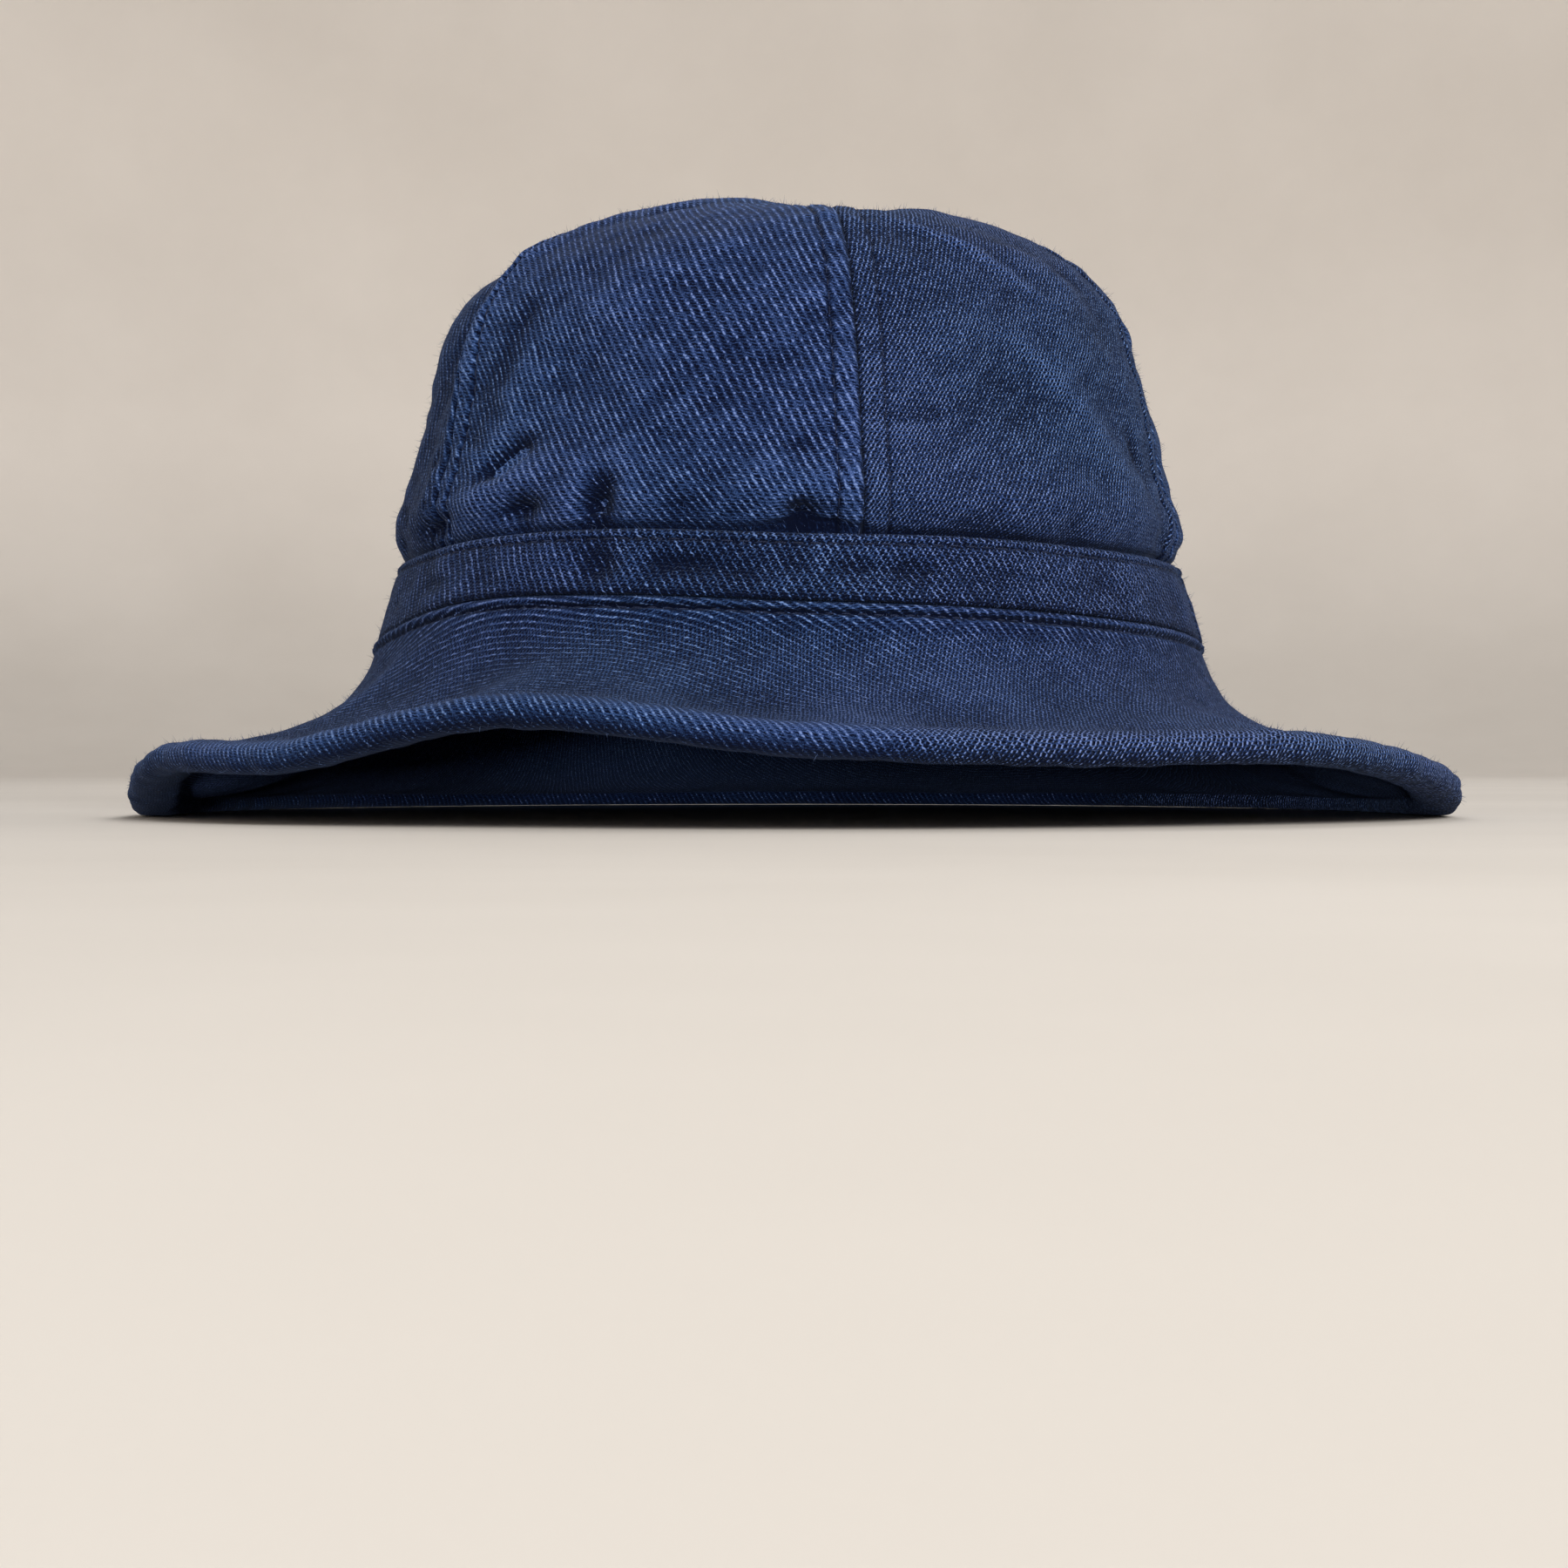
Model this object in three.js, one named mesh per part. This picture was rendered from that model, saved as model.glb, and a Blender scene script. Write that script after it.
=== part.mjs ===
// A soft cloth cap: a round crown of six panels, a band around its foot and a wide flared brim
// with a rolled hem. It stands on its brim on Z = 0 with its front towards -Y. Millimetres, +Z up.
// An azimuth is in degrees around the crown's axis: 0 at the front, 90 at +X, 180 at the back.
import * as THREE from 'three';

const CROWN_WALL = 1.4;         // one layer of cloth
const SEAM_ALLOWANCE = 6.5;     // strip of each panel that is pressed back along a seam
const ALLOWANCE_FADE = 2;       // width over which that strip thins out
const ALLOWANCE_WALL = 1.0;     // what that strip adds inside
const BAND_WALL = 1.8;          // two layers
const BRIM_WALL = 1.9;          // two layers, quilted together
const SEWN_GAP = 0.3;           // clearance between two sewn pieces
const TIP_RADIUS = 1.3;         // panels stop this far from the crown's axis

const SEAM_HALF_WIDTH = 91;     // plan of the seam between band and brim
const SEAM_HALF_DEPTH = 99;
const BAND_TOP_HALF_WIDTH = 85.8;
const BAND_TOP_HALF_DEPTH = 93.7;
const BAND_SWELL = 0.3;         // how far the band bulges at half its height
const BAND_JOIN = 74;           // azimuth where the band's ends meet
const COLLAR = 5;               // height of the brim's edge sewn up inside the band
const LIP = 0.3;                // how far the brim stands out past the band at their seam

const HEM_WIDTH = 10.8;
const HEM_DEPTH = 6.3;
const HEM_CREST = 0.9;          // how far the hem stands above the brim's top face
const HEM_SETBACK = 1.6;        // from the end of the flat brim to the hem's inner side
const HEM_DROOP = 5;            // degrees that the rim points down
const HEM_SQUARENESS = 2.6;     // exponent of the hem's round section
const HEM_START = 125;          // degrees around that section where it leaves the top face
const HEM_END = -165;           // and where it comes back to the underside

const PLAN_SQUARENESS = 2.2;    // exponent of the oval plan at the foot of the crown
const TOP_SQUARENESS = 2;       // and at its top
const MEAN_BAND_TOP = 55;       // height that the crown sections below are drawn for
const BAND_WAVE_FADE = 90;      // height where the crown no longer follows the band's waves

const INDIGO = 0x2a3a63;

// sections of the crown, from the edge tucked behind the band to the top
const CROWN_SECTIONS = [
  { place: 'tucked edge', height: 48.5, halfWidth: 83.0, halfDepth: 90.8 },
  { place: 'neck', height: 54.6, halfWidth: 83.2, halfDepth: 91.0 },
  { place: 'roll', height: 57.4, halfWidth: 85.6, halfDepth: 93.1 },
  { place: 'puff', height: 63.6, halfWidth: 87.0, halfDepth: 93.8 },
  { place: 'lower wall', height: 73.0, halfWidth: 83.9, halfDepth: 90.4 },
  { place: 'wall', height: 88.0, halfWidth: 80.4, halfDepth: 86.6 },
  { place: 'upper wall', height: 103.0, halfWidth: 76.3, halfDepth: 82.2 },
  { place: 'shoulder', height: 114.0, halfWidth: 70.2, halfDepth: 75.6 },
  { place: 'turn', height: 121.0, halfWidth: 62.3, halfDepth: 67.2 },
  { place: 'brow', height: 125.2, halfWidth: 53.5, halfDepth: 57.9 },
  { place: 'outer top', height: 128.2, halfWidth: 43.5, halfDepth: 47.0 },
  { place: 'top', height: 130.8, halfWidth: 31.5, halfDepth: 34.0 },
  { place: 'inner top', height: 132.3, halfWidth: 17.0, halfDepth: 18.2 },
  { place: 'meeting of seams', height: 133.0, halfWidth: 0, halfDepth: 0 },
];

// each panel runs from one seam's azimuth to the next
const CROWN_PANELS = [
  { name: 'crown_panel_front_left', from: -53.5, to: 9 },
  { name: 'crown_panel_front_right', from: 9, to: 68 },
  { name: 'crown_panel_right', from: 68, to: 128 },
  { name: 'crown_panel_back_right', from: 128, to: 188 },
  { name: 'crown_panel_back_left', from: 188, to: 246 },
  { name: 'crown_panel_left', from: 246, to: 306.5 },
];

// dents (height below 0) and ridges of the crown: rise is measured up the cloth from its lower
// edge, along and across are half lengths, and slant turns the fold up towards +azimuth
const CROWN_FOLDS = [
  { name: 'left seam ridge', azimuth: -52.5, rise: 55, along: 34, across: 5, height: 1.8, slant: 80 },
  { name: 'left of that ridge', azimuth: -62.5, rise: 52, along: 26, across: 6, height: -1.8, slant: 78 },
  { name: 'left dent', azimuth: -40.5, rise: 25, along: 8.5, across: 4, height: -2.4, slant: 30 },
  { name: 'left low dent', azimuth: -36, rise: 13, along: 8, across: 4, height: -1.5, slant: 14 },
  { name: 'front low dent', azimuth: -23.5, rise: 14.5, along: 6.5, across: 4.5, height: -1.7, slant: 80 },
  { name: 'left bulge', azimuth: -34, rise: 20, along: 9, across: 5, height: 1.0, slant: 18 },
  { name: 'hollow at front seam', azimuth: 4, rise: 11, along: 11, across: 4.5, height: -2, slant: 0 },
  { name: 'right dimple', azimuth: 31, rise: 38, along: 13, across: 9, height: -1.5, slant: -30 },
  { name: 'right ridge', azimuth: 47, rise: 31, along: 18, across: 5, height: 1.3, slant: -48 },
  { name: 'top right ridge', azimuth: 40, rise: 74, along: 18, across: 5, height: 1.5, slant: -50 },
  { name: 'top right hollow', azimuth: 18, rise: 104, along: 13, across: 12, height: -2.8, slant: 0 },
  { name: 'top left puff', azimuth: -24, rise: 106, along: 13, across: 10, height: 1.6, slant: 0 },
  { name: 'slack left shoulder', azimuth: -72, rise: 87, along: 21, across: 13, height: -3.2, slant: 0 },
  { name: 'slack left side', azimuth: -90, rise: 20, along: 24, across: 13, height: -1.6, slant: 0 },
  { name: 'right side dent', azimuth: 84, rise: 30, along: 14, across: 6, height: -1.6, slant: 35 },
  { name: 'back right ridge', azimuth: 112, rise: 56, along: 20, across: 6, height: 1.4, slant: 62 },
  { name: 'back right dent', azimuth: 146, rise: 24, along: 13, across: 6, height: -1.8, slant: -22 },
  { name: 'back ridge', azimuth: 172, rise: 44, along: 18, across: 6, height: 1.3, slant: 50 },
  { name: 'back left dent', azimuth: 214, rise: 28, along: 14, across: 6, height: -1.8, slant: 20 },
  { name: 'back top hollow', azimuth: 200, rise: 98, along: 16, across: 12, height: -1.8, slant: 0 },
  { name: 'left side dent', azimuth: 262, rise: 22, along: 12, across: 5.5, height: -1.6, slant: -28 },
];
const FOLD_FREE_RISE = 6;       // below this rise the crown is held by its seam
const FOLD_FULL_RISE = 13;

// dents in the band: up is the place on its height from 0 at the brim to 1 at the crown
const BAND_DENTS = [
  { name: 'left crease', azimuth: -23, up: 0.6, along: 4, across: 0.4, height: -0.8 },
  { name: 'left hollow', azimuth: -11, up: 0.45, along: 14, across: 0.3, height: -1.0 },
  { name: 'right hollow', azimuth: 14, up: 0.42, along: 12, across: 0.3, height: -1.0 },
  { name: 'back hollow', azimuth: 160, up: 0.45, along: 16, across: 0.3, height: -1.0 },
  { name: 'left side hollow', azimuth: -104, up: 0.45, along: 13, across: 0.3, height: -0.9 },
];

// around the cap, every 20 degrees: heights of the band's two edges, how far out the rim reaches,
// and the height of its underside (below 0 the soft rim is pressed flat on what it stands on)
const AROUND = [
  { azimuth: -180, seam: 35.4, bandTop: 52.5, reach: 151.0, foot: -0.5 },
  { azimuth: -160, seam: 35.3, bandTop: 52.4, reach: 150.0, foot: -0.8 },
  { azimuth: -140, seam: 35.2, bandTop: 52.5, reach: 148.5, foot: -0.8 },
  { azimuth: -120, seam: 35.3, bandTop: 52.8, reach: 147.0, foot: -0.5 },
  { azimuth: -100, seam: 35.8, bandTop: 53.4, reach: 145.5, foot: -0.8 },
  { azimuth: -80, seam: 36.6, bandTop: 54.2, reach: 144.5, foot: 0.4 },
  { azimuth: -60, seam: 39.6, bandTop: 55.0, reach: 146.5, foot: 9.2 },
  { azimuth: -40, seam: 43.8, bandTop: 56.7, reach: 149.5, foot: 9.7 },
  { azimuth: -20, seam: 44.0, bandTop: 57.0, reach: 151.5, foot: 17.6 },
  { azimuth: 0, seam: 42.6, bandTop: 55.8, reach: 152.5, foot: 12.7 },
  { azimuth: 20, seam: 41.8, bandTop: 55.5, reach: 152.5, foot: 10.9 },
  { azimuth: 40, seam: 40.4, bandTop: 54.6, reach: 151.5, foot: 11.2 },
  { azimuth: 60, seam: 38.8, bandTop: 54.1, reach: 149.5, foot: 6.6 },
  { azimuth: 80, seam: 36.8, bandTop: 53.9, reach: 147.0, foot: 0.4 },
  { azimuth: 100, seam: 36.0, bandTop: 53.4, reach: 147.0, foot: -0.8 },
  { azimuth: 120, seam: 35.5, bandTop: 52.9, reach: 147.5, foot: -0.6 },
  { azimuth: 140, seam: 35.3, bandTop: 52.6, reach: 149.0, foot: -0.5 },
  { azimuth: 160, seam: 35.4, bandTop: 52.5, reach: 150.5, foot: -0.8 },
];

// the brim leaves the band steeply and flattens: two handles as parts of its reach and drop
const FLARE_START = { out: 0.05, down: 0.55 };
const FLARE_END = { out: 0.5, down: 0.96 };

const PANEL_COLUMNS = [0, 0.08, 0.11, 0.22, 0.34, 0.45, 0.55, 0.66, 0.78, 0.89, 0.92, 1];
const CROWN_ROWS = 20;
const ROW_CROWDING = 1.12;      // over 1, the rows lie closer near the band
const BAND_HEIGHTS = [0, 0.2, 0.45, 0.75, 1];
const BAND_COLUMNS = 72;
const BRIM_COLUMNS = 72;
const BRIM_STEPS = 6;
const HEM_STEPS = 10;

const { degToRad, lerp, smoothstep } = THREE.MathUtils;

// a place on the crown is a position in its section table, from 0 to this
const TOP_PLACE = CROWN_SECTIONS.length - 1;
const rowPlace = (row) => TOP_PLACE * Math.pow(row / CROWN_ROWS, ROW_CROWDING);

// a smooth closed curve through one column of the table around the cap
function aroundCurve(column) {
  const points = AROUND.map((row) => new THREE.Vector3(row[column], 0, 0));
  const curve = new THREE.CatmullRomCurve3(points, true, 'catmullrom', 0.5);
  return (azimuth) => curve.getPoint((((azimuth + 180) / 360) % 1 + 1) % 1).x;
}

const seamHeight = aroundCurve('seam');
const bandTopHeight = aroundCurve('bandTop');
const rimReach = aroundCurve('reach');
const rimFoot = aroundCurve('foot');

// radius of a squarish oval in the direction of an azimuth
function ovalRadius(azimuth, halfWidth, halfDepth, squareness) {
  const side = Math.abs(Math.sin(degToRad(azimuth))) / halfWidth;
  const front = Math.abs(Math.cos(degToRad(azimuth))) / halfDepth;
  return Math.pow(side ** squareness + front ** squareness, -1 / squareness);
}

// a point at a radius, azimuth and height
function polar(radius, azimuth, height) {
  const angle = degToRad(azimuth);
  return new THREE.Vector3(radius * Math.sin(angle), -radius * Math.cos(angle), height);
}

const crownCurve = new THREE.CatmullRomCurve3(
  CROWN_SECTIONS.map((row) => new THREE.Vector3(row.halfWidth, row.halfDepth, row.height)),
  false, 'catmullrom', 0.5);

const sectionAt = (place) => crownCurve.getPoint(place / TOP_PLACE);

// how far up the cloth each tenth of a section lies, measured on the side of the crown
const RISE_STEPS = 10;
const RISES = [0];
for (let step = 1; step <= TOP_PLACE * RISE_STEPS; step++) {
  const low = sectionAt((step - 1) / RISE_STEPS);
  const high = sectionAt(step / RISE_STEPS);
  RISES.push(RISES.at(-1) + Math.hypot(high.x - low.x, high.z - low.z));
}

function riseAt(place) {
  const step = Math.min(Math.floor(place * RISE_STEPS), RISES.length - 2);
  return lerp(RISES[step], RISES[step + 1], place * RISE_STEPS - step);
}

function crownRadius(azimuth, place) {
  const section = sectionAt(place);
  const squareness = lerp(PLAN_SQUARENESS, TOP_SQUARENESS, place / TOP_PLACE);
  return ovalRadius(azimuth, section.x, section.y, squareness);
}

// the crown without its folds; its foot goes up and down with the top of the band
function smoothCrown(azimuth, place) {
  const height = sectionAt(place).z;
  const follow = 1 - smoothstep(height, MEAN_BAND_TOP, BAND_WAVE_FADE);
  const wave = (bandTopHeight(azimuth) - MEAN_BAND_TOP) * follow;
  return polar(crownRadius(azimuth, place), azimuth, height + wave);
}

function crownNormal(azimuth, place) {
  const turn = 0.5;
  const climb = 0.05;
  const low = Math.max(place - climb, 0);
  const high = Math.min(place + climb, TOP_PLACE - climb);
  const around = smoothCrown(azimuth + turn, place).sub(smoothCrown(azimuth - turn, place));
  const up = smoothCrown(azimuth, high).sub(smoothCrown(azimuth, low));
  return around.cross(up).normalize();
}

// shortest turn from one azimuth to another, in degrees
const turnTo = (from, to) => ((to - from + 540) % 360) - 180;

// sum of all dents and ridges: each is a smooth bump, longer along its slant than across it
function crownFold(azimuth, place) {
  const rise = riseAt(place);
  const radius = crownRadius(azimuth, place);
  let height = 0;
  for (const fold of CROWN_FOLDS) {
    const across = degToRad(turnTo(fold.azimuth, azimuth)) * radius;
    const up = rise - fold.rise;
    const slant = degToRad(fold.slant);
    const along = (across * Math.cos(slant) + up * Math.sin(slant)) / fold.along;
    const aside = (up * Math.cos(slant) - across * Math.sin(slant)) / fold.across;
    height += fold.height * Math.exp(-along * along - aside * aside);
  }
  return height * smoothstep(rise, FOLD_FREE_RISE, FOLD_FULL_RISE);
}

// a closed cloth wall from two grids of points, [row][column], outer and inner; rows go up and
// columns go towards +azimuth
function wallGeometry(outer, inner) {
  const rows = outer.length;
  const columns = outer[0].length;
  const points = [...outer.flat(), ...inner.flat()];
  const out = (row, column) => row * columns + column;
  const into = (row, column) => rows * columns + out(row, column);
  const index = [];
  const quad = (a, b, c, d) => index.push(a, b, c, a, c, d);
  for (let row = 0; row + 1 < rows; row++) {
    for (let column = 0; column + 1 < columns; column++) {
      quad(out(row, column), out(row, column + 1), out(row + 1, column + 1), out(row + 1, column));
      quad(into(row, column), into(row + 1, column), into(row + 1, column + 1), into(row, column + 1));
    }
    const end = columns - 1;
    quad(out(row, 0), out(row + 1, 0), into(row + 1, 0), into(row, 0));
    quad(out(row, end), into(row, end), into(row + 1, end), out(row + 1, end));
  }
  for (let column = 0; column + 1 < columns; column++) {
    const top = rows - 1;
    quad(out(0, column), into(0, column), into(0, column + 1), out(0, column + 1));
    quad(out(top, column), out(top, column + 1), into(top, column + 1), into(top, column));
  }
  return meshGeometry(points, index);
}

// a closed ring from sections, each a loop of points, one section for each column
function ringGeometry(sections) {
  const count = sections[0].length;
  const index = [];
  sections.forEach((section, column) => {
    const next = (column + 1) % sections.length;
    for (let step = 0; step < count; step++) {
      const after = (step + 1) % count;
      const here = column * count;
      const there = next * count;
      index.push(here + step, here + after, there + after, here + step, there + after, there + step);
    }
  });
  return meshGeometry(sections.flat(), index);
}

function meshGeometry(points, index) {
  const geometry = new THREE.BufferGeometry().setFromPoints(points);
  geometry.setIndex(index);
  geometry.computeVertexNormals();
  return geometry;
}

// one crown panel: thicker along both seams, where its allowance is pressed back
function crownPanel({ from, to }) {
  const lastPlace = tipPlace();
  const outer = [];
  const inner = [];
  for (let row = 0; row <= CROWN_ROWS; row++) {
    const place = Math.min(rowPlace(row), lastPlace);
    outer.push([]);
    inner.push([]);
    for (const part of PANEL_COLUMNS) {
      const radius = crownRadius(lerp(from, to, part), place);
      const inset = THREE.MathUtils.radToDeg(SEWN_GAP / 2 / radius);
      const azimuth = lerp(from + inset, to - inset, part);
      const toSeam = degToRad(Math.min(azimuth - from, to - azimuth)) * radius;
      const pressed = 1 - smoothstep(toSeam, SEAM_ALLOWANCE, SEAM_ALLOWANCE + ALLOWANCE_FADE);
      const point = smoothCrown(azimuth, place);
      const normal = crownNormal(azimuth, place);
      const fold = crownFold(azimuth, place);
      outer[row].push(point.clone().addScaledVector(normal, fold));
      const wall = CROWN_WALL + ALLOWANCE_WALL * pressed;
      inner[row].push(point.clone().addScaledVector(normal, fold - wall));
    }
  }
  return wallGeometry(outer, inner);
}

// place in the section table where the crown has narrowed to the tip radius
function tipPlace() {
  const halvings = 20;
  let low = TOP_PLACE - 1;
  let high = TOP_PLACE;
  for (let halving = 0; halving < halvings; halving++) {
    const middle = (low + high) / 2;
    if (sectionAt(middle).x > TIP_RADIUS) low = middle;
    else high = middle;
  }
  return low;
}

const seamRadius = (azimuth) => ovalRadius(azimuth, SEAM_HALF_WIDTH, SEAM_HALF_DEPTH, PLAN_SQUARENESS);
const bandTopRadius = (azimuth) =>
  ovalRadius(azimuth, BAND_TOP_HALF_WIDTH, BAND_TOP_HALF_DEPTH, PLAN_SQUARENESS);

function bandDent(azimuth, up) {
  let height = 0;
  for (const dent of BAND_DENTS) {
    const along = degToRad(turnTo(dent.azimuth, azimuth)) * seamRadius(azimuth) / dent.along;
    const aside = (up - dent.up) / dent.across;
    height += dent.height * Math.exp(-along * along - aside * aside);
  }
  return height;
}

// the band is a strip bent once around the crown, with its two ends meeting at the join
function bandStrip() {
  const gap = THREE.MathUtils.radToDeg(SEWN_GAP / 2 / seamRadius(BAND_JOIN));
  const outer = [];
  const inner = [];
  for (const up of BAND_HEIGHTS) {
    outer.push([]);
    inner.push([]);
    for (let column = 0; column <= BAND_COLUMNS; column++) {
      const azimuth = lerp(BAND_JOIN + gap, BAND_JOIN + 360 - gap, column / BAND_COLUMNS);
      const straight = lerp(seamRadius(azimuth), bandTopRadius(azimuth), up);
      const height = lerp(seamHeight(azimuth), bandTopHeight(azimuth), up);
      const swell = BAND_SWELL * Math.sin(Math.PI * up) + bandDent(azimuth, up) * Math.sin(Math.PI * up);
      outer.at(-1).push(polar(straight + swell, azimuth, height));
      inner.at(-1).push(polar(straight + Math.min(swell, 0) - BAND_WALL, azimuth, height));
    }
  }
  return wallGeometry(outer, inner);
}

// the brim cut across at one azimuth, as (radius, height) points: down its outer face from the
// collar, out along the flare, around the hem and back along the underside
function brimSection(azimuth) {
  const seam = new THREE.Vector2(seamRadius(azimuth), seamHeight(azimuth));
  const bandTop = new THREE.Vector2(bandTopRadius(azimuth), bandTopHeight(azimuth));
  const behindBand = new THREE.Vector2(-BAND_WALL - 1.5 * SEWN_GAP, -1.5 * SEWN_GAP);
  const collarFoot = seam.clone().add(behindBand);
  const collarTop = seam.clone().lerp(bandTop, COLLAR / (bandTop.y - seam.y)).add(behindBand);
  const start = new THREE.Vector2(seam.x + LIP, seam.y - 2 * SEWN_GAP);
  const droop = degToRad(HEM_DROOP);
  const outward = new THREE.Vector2(Math.cos(droop), -Math.sin(droop));
  const upward = new THREE.Vector2(Math.sin(droop), Math.cos(droop));
  const hemCentre = new THREE.Vector2(
    rimReach(azimuth) - HEM_WIDTH / 2, rimFoot(azimuth) + HEM_DEPTH / 2);
  const end = hemCentre.clone()
    .addScaledVector(outward, -HEM_WIDTH / 2 - HEM_SETBACK)
    .addScaledVector(upward, HEM_DEPTH / 2 - HEM_CREST);
  const reach = end.x - start.x;
  const drop = start.y - end.y;
  const flare = new THREE.CubicBezierCurve(start,
    new THREE.Vector2(start.x + FLARE_START.out * reach, start.y - FLARE_START.down * drop),
    new THREE.Vector2(start.x + FLARE_END.out * reach, start.y - FLARE_END.down * drop), end);
  const top = flare.getPoints(BRIM_STEPS);
  const under = top.map((point, step) => {
    const tangent = flare.getTangent(step / BRIM_STEPS);
    return new THREE.Vector2(point.x + tangent.y * BRIM_WALL, point.y - tangent.x * BRIM_WALL);
  });
  const hem = [];
  for (let step = 0; step <= HEM_STEPS; step++) {
    const angle = degToRad(lerp(HEM_START, HEM_END, step / HEM_STEPS));
    const roundness = 2 / HEM_SQUARENESS;
    const out = Math.sign(Math.cos(angle)) * Math.abs(Math.cos(angle)) ** roundness * HEM_WIDTH / 2;
    const up = Math.sign(Math.sin(angle)) * Math.abs(Math.sin(angle)) ** roundness * HEM_DEPTH / 2;
    hem.push(hemCentre.clone().addScaledVector(outward, out).addScaledVector(upward, up));
  }
  const collarInside = new THREE.Vector2(collarTop.x - BRIM_WALL, collarTop.y);
  const footInside = new THREE.Vector2(collarFoot.x - BRIM_WALL, collarFoot.y - BRIM_WALL / 2);
  return [collarTop, collarFoot, ...top, ...hem, ...under.slice(1).reverse(), footInside, collarInside];
}

function brimRing() {
  const sections = [];
  for (let column = 0; column < BRIM_COLUMNS; column++) {
    const azimuth = 360 * column / BRIM_COLUMNS;
    sections.push(brimSection(azimuth).map((point) => polar(point.x, azimuth, Math.max(point.y, 0))));
  }
  return ringGeometry(sections);
}

function clothMesh(name, geometry) {
  const cloth = new THREE.MeshStandardMaterial({ color: INDIGO, roughness: 0.95, metalness: 0 });
  const mesh = new THREE.Mesh(geometry, cloth);
  mesh.name = name;
  return mesh;
}

const cap = new THREE.Group();
for (const panel of CROWN_PANELS) cap.add(clothMesh(panel.name, crownPanel(panel)));
cap.add(clothMesh('band', bandStrip()));
cap.add(clothMesh('brim', brimRing()));

// the origin is the middle of the floor under the cap
const box = new THREE.Box3().setFromObject(cap);
const middle = box.getCenter(new THREE.Vector3());
cap.position.set(-middle.x, -middle.y, -box.min.z);

export default cap;
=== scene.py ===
"""A soft indigo twill cap standing on its brim: six crown panels, a band and a flared brim.

Shapes are worked out in millimetres around the crown's axis and put into meshes in metres.
An azimuth is in degrees around that axis: 0 at the front (-Y), 90 at +X, 180 at the back.
"""

import bpy
import numpy as np
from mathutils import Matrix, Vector


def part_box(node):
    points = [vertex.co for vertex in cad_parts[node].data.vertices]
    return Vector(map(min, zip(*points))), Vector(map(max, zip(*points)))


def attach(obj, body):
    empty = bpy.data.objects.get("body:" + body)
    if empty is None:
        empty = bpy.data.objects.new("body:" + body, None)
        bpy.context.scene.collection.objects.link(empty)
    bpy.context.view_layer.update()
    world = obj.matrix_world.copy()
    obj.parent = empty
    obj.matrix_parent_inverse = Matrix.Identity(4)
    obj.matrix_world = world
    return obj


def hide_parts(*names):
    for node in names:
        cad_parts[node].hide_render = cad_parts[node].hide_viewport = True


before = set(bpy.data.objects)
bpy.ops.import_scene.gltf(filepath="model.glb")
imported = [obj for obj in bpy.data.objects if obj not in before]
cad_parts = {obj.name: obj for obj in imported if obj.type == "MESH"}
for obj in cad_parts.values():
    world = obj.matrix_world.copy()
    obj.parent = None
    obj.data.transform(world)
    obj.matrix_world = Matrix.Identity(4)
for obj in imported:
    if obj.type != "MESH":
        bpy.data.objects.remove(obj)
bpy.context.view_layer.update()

MM = 0.001
SEED = 41
rng = np.random.default_rng(SEED)

# cloth and seams, in millimetres
CROWN_WALL = 1.4
BAND_WALL = 1.8
BRIM_WALL = 1.9
SEWN_GAP = 0.12              # clearance left between two sewn pieces
TIP_RADIUS = 0.15            # panels meet this close to the crown's axis
STITCH_SETBACK = 5.0         # from a crown seam to the topstitching on each side
BAND_STITCH_DROP = 2.0       # from the band's top edge to its topstitching
WELT_WIDTH = 1.8             # pressed edge of the brim between the band and a row of stitches
STITCH_LENGTH = 2.5
STITCH_PITCH = 3.1
THREAD_RADIUS = 0.15

# plan of the band
SEAM_HALF_WIDTH = 91.0
SEAM_HALF_DEPTH = 99.0
BAND_TOP_HALF_WIDTH = 85.8
BAND_TOP_HALF_DEPTH = 93.7
BAND_SWELL = 0.3
BAND_JOIN = 74.0
COLLAR = 5.0
LIP = 0.3
PLAN_SQUARENESS = 2.2
TOP_SQUARENESS = 2.0
MEAN_BAND_TOP = 55.0
BAND_WAVE_FADE = 90.0

# rolled hem of the brim
HEM_WIDTH = 10.8
HEM_DEPTH = 6.3
HEM_CREST = 0.9
HEM_SETBACK = 1.6
HEM_DROOP = 5.0
HEM_SQUARENESS = 2.6
HEM_START = 125.0
HEM_END = -182.0
FLARE_OUT = (0.05, 0.5)      # handles of the flare, as parts of its reach and of its drop
FLARE_DOWN = (0.55, 0.96)

# sections of the crown from the edge tucked behind the band to the top:
# height, half width, half depth
CROWN_SECTIONS = np.array([
    (48.5, 83.0, 90.8),      # tucked edge
    (54.6, 83.2, 91.0),      # neck
    (57.4, 85.6, 93.1),      # roll
    (63.6, 87.0, 93.8),      # puff
    (73.0, 83.9, 90.4),      # lower wall
    (88.0, 80.4, 86.6),      # wall
    (103.0, 76.3, 82.2),     # upper wall
    (114.0, 70.2, 75.6),     # shoulder
    (121.0, 62.3, 67.2),     # turn
    (125.2, 53.5, 57.9),     # brow
    (128.2, 43.5, 47.0),     # outer top
    (130.8, 31.5, 34.0),     # top
    (132.3, 17.0, 18.2),     # inner top
    (133.0, 0.0, 0.0),       # meeting of seams
])
TOP_PLACE = len(CROWN_SECTIONS) - 1.0

# crown seams, and the panel that starts at each one: name, azimuth of its first seam
PANELS = [
    ("front_left", -53.5),
    ("front_right", 9.0),
    ("right", 68.0),
    ("back_right", 128.0),
    ("back_left", 188.0),
    ("left", 246.0),
]
SEAMS = np.array([start for _, start in PANELS])

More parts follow.
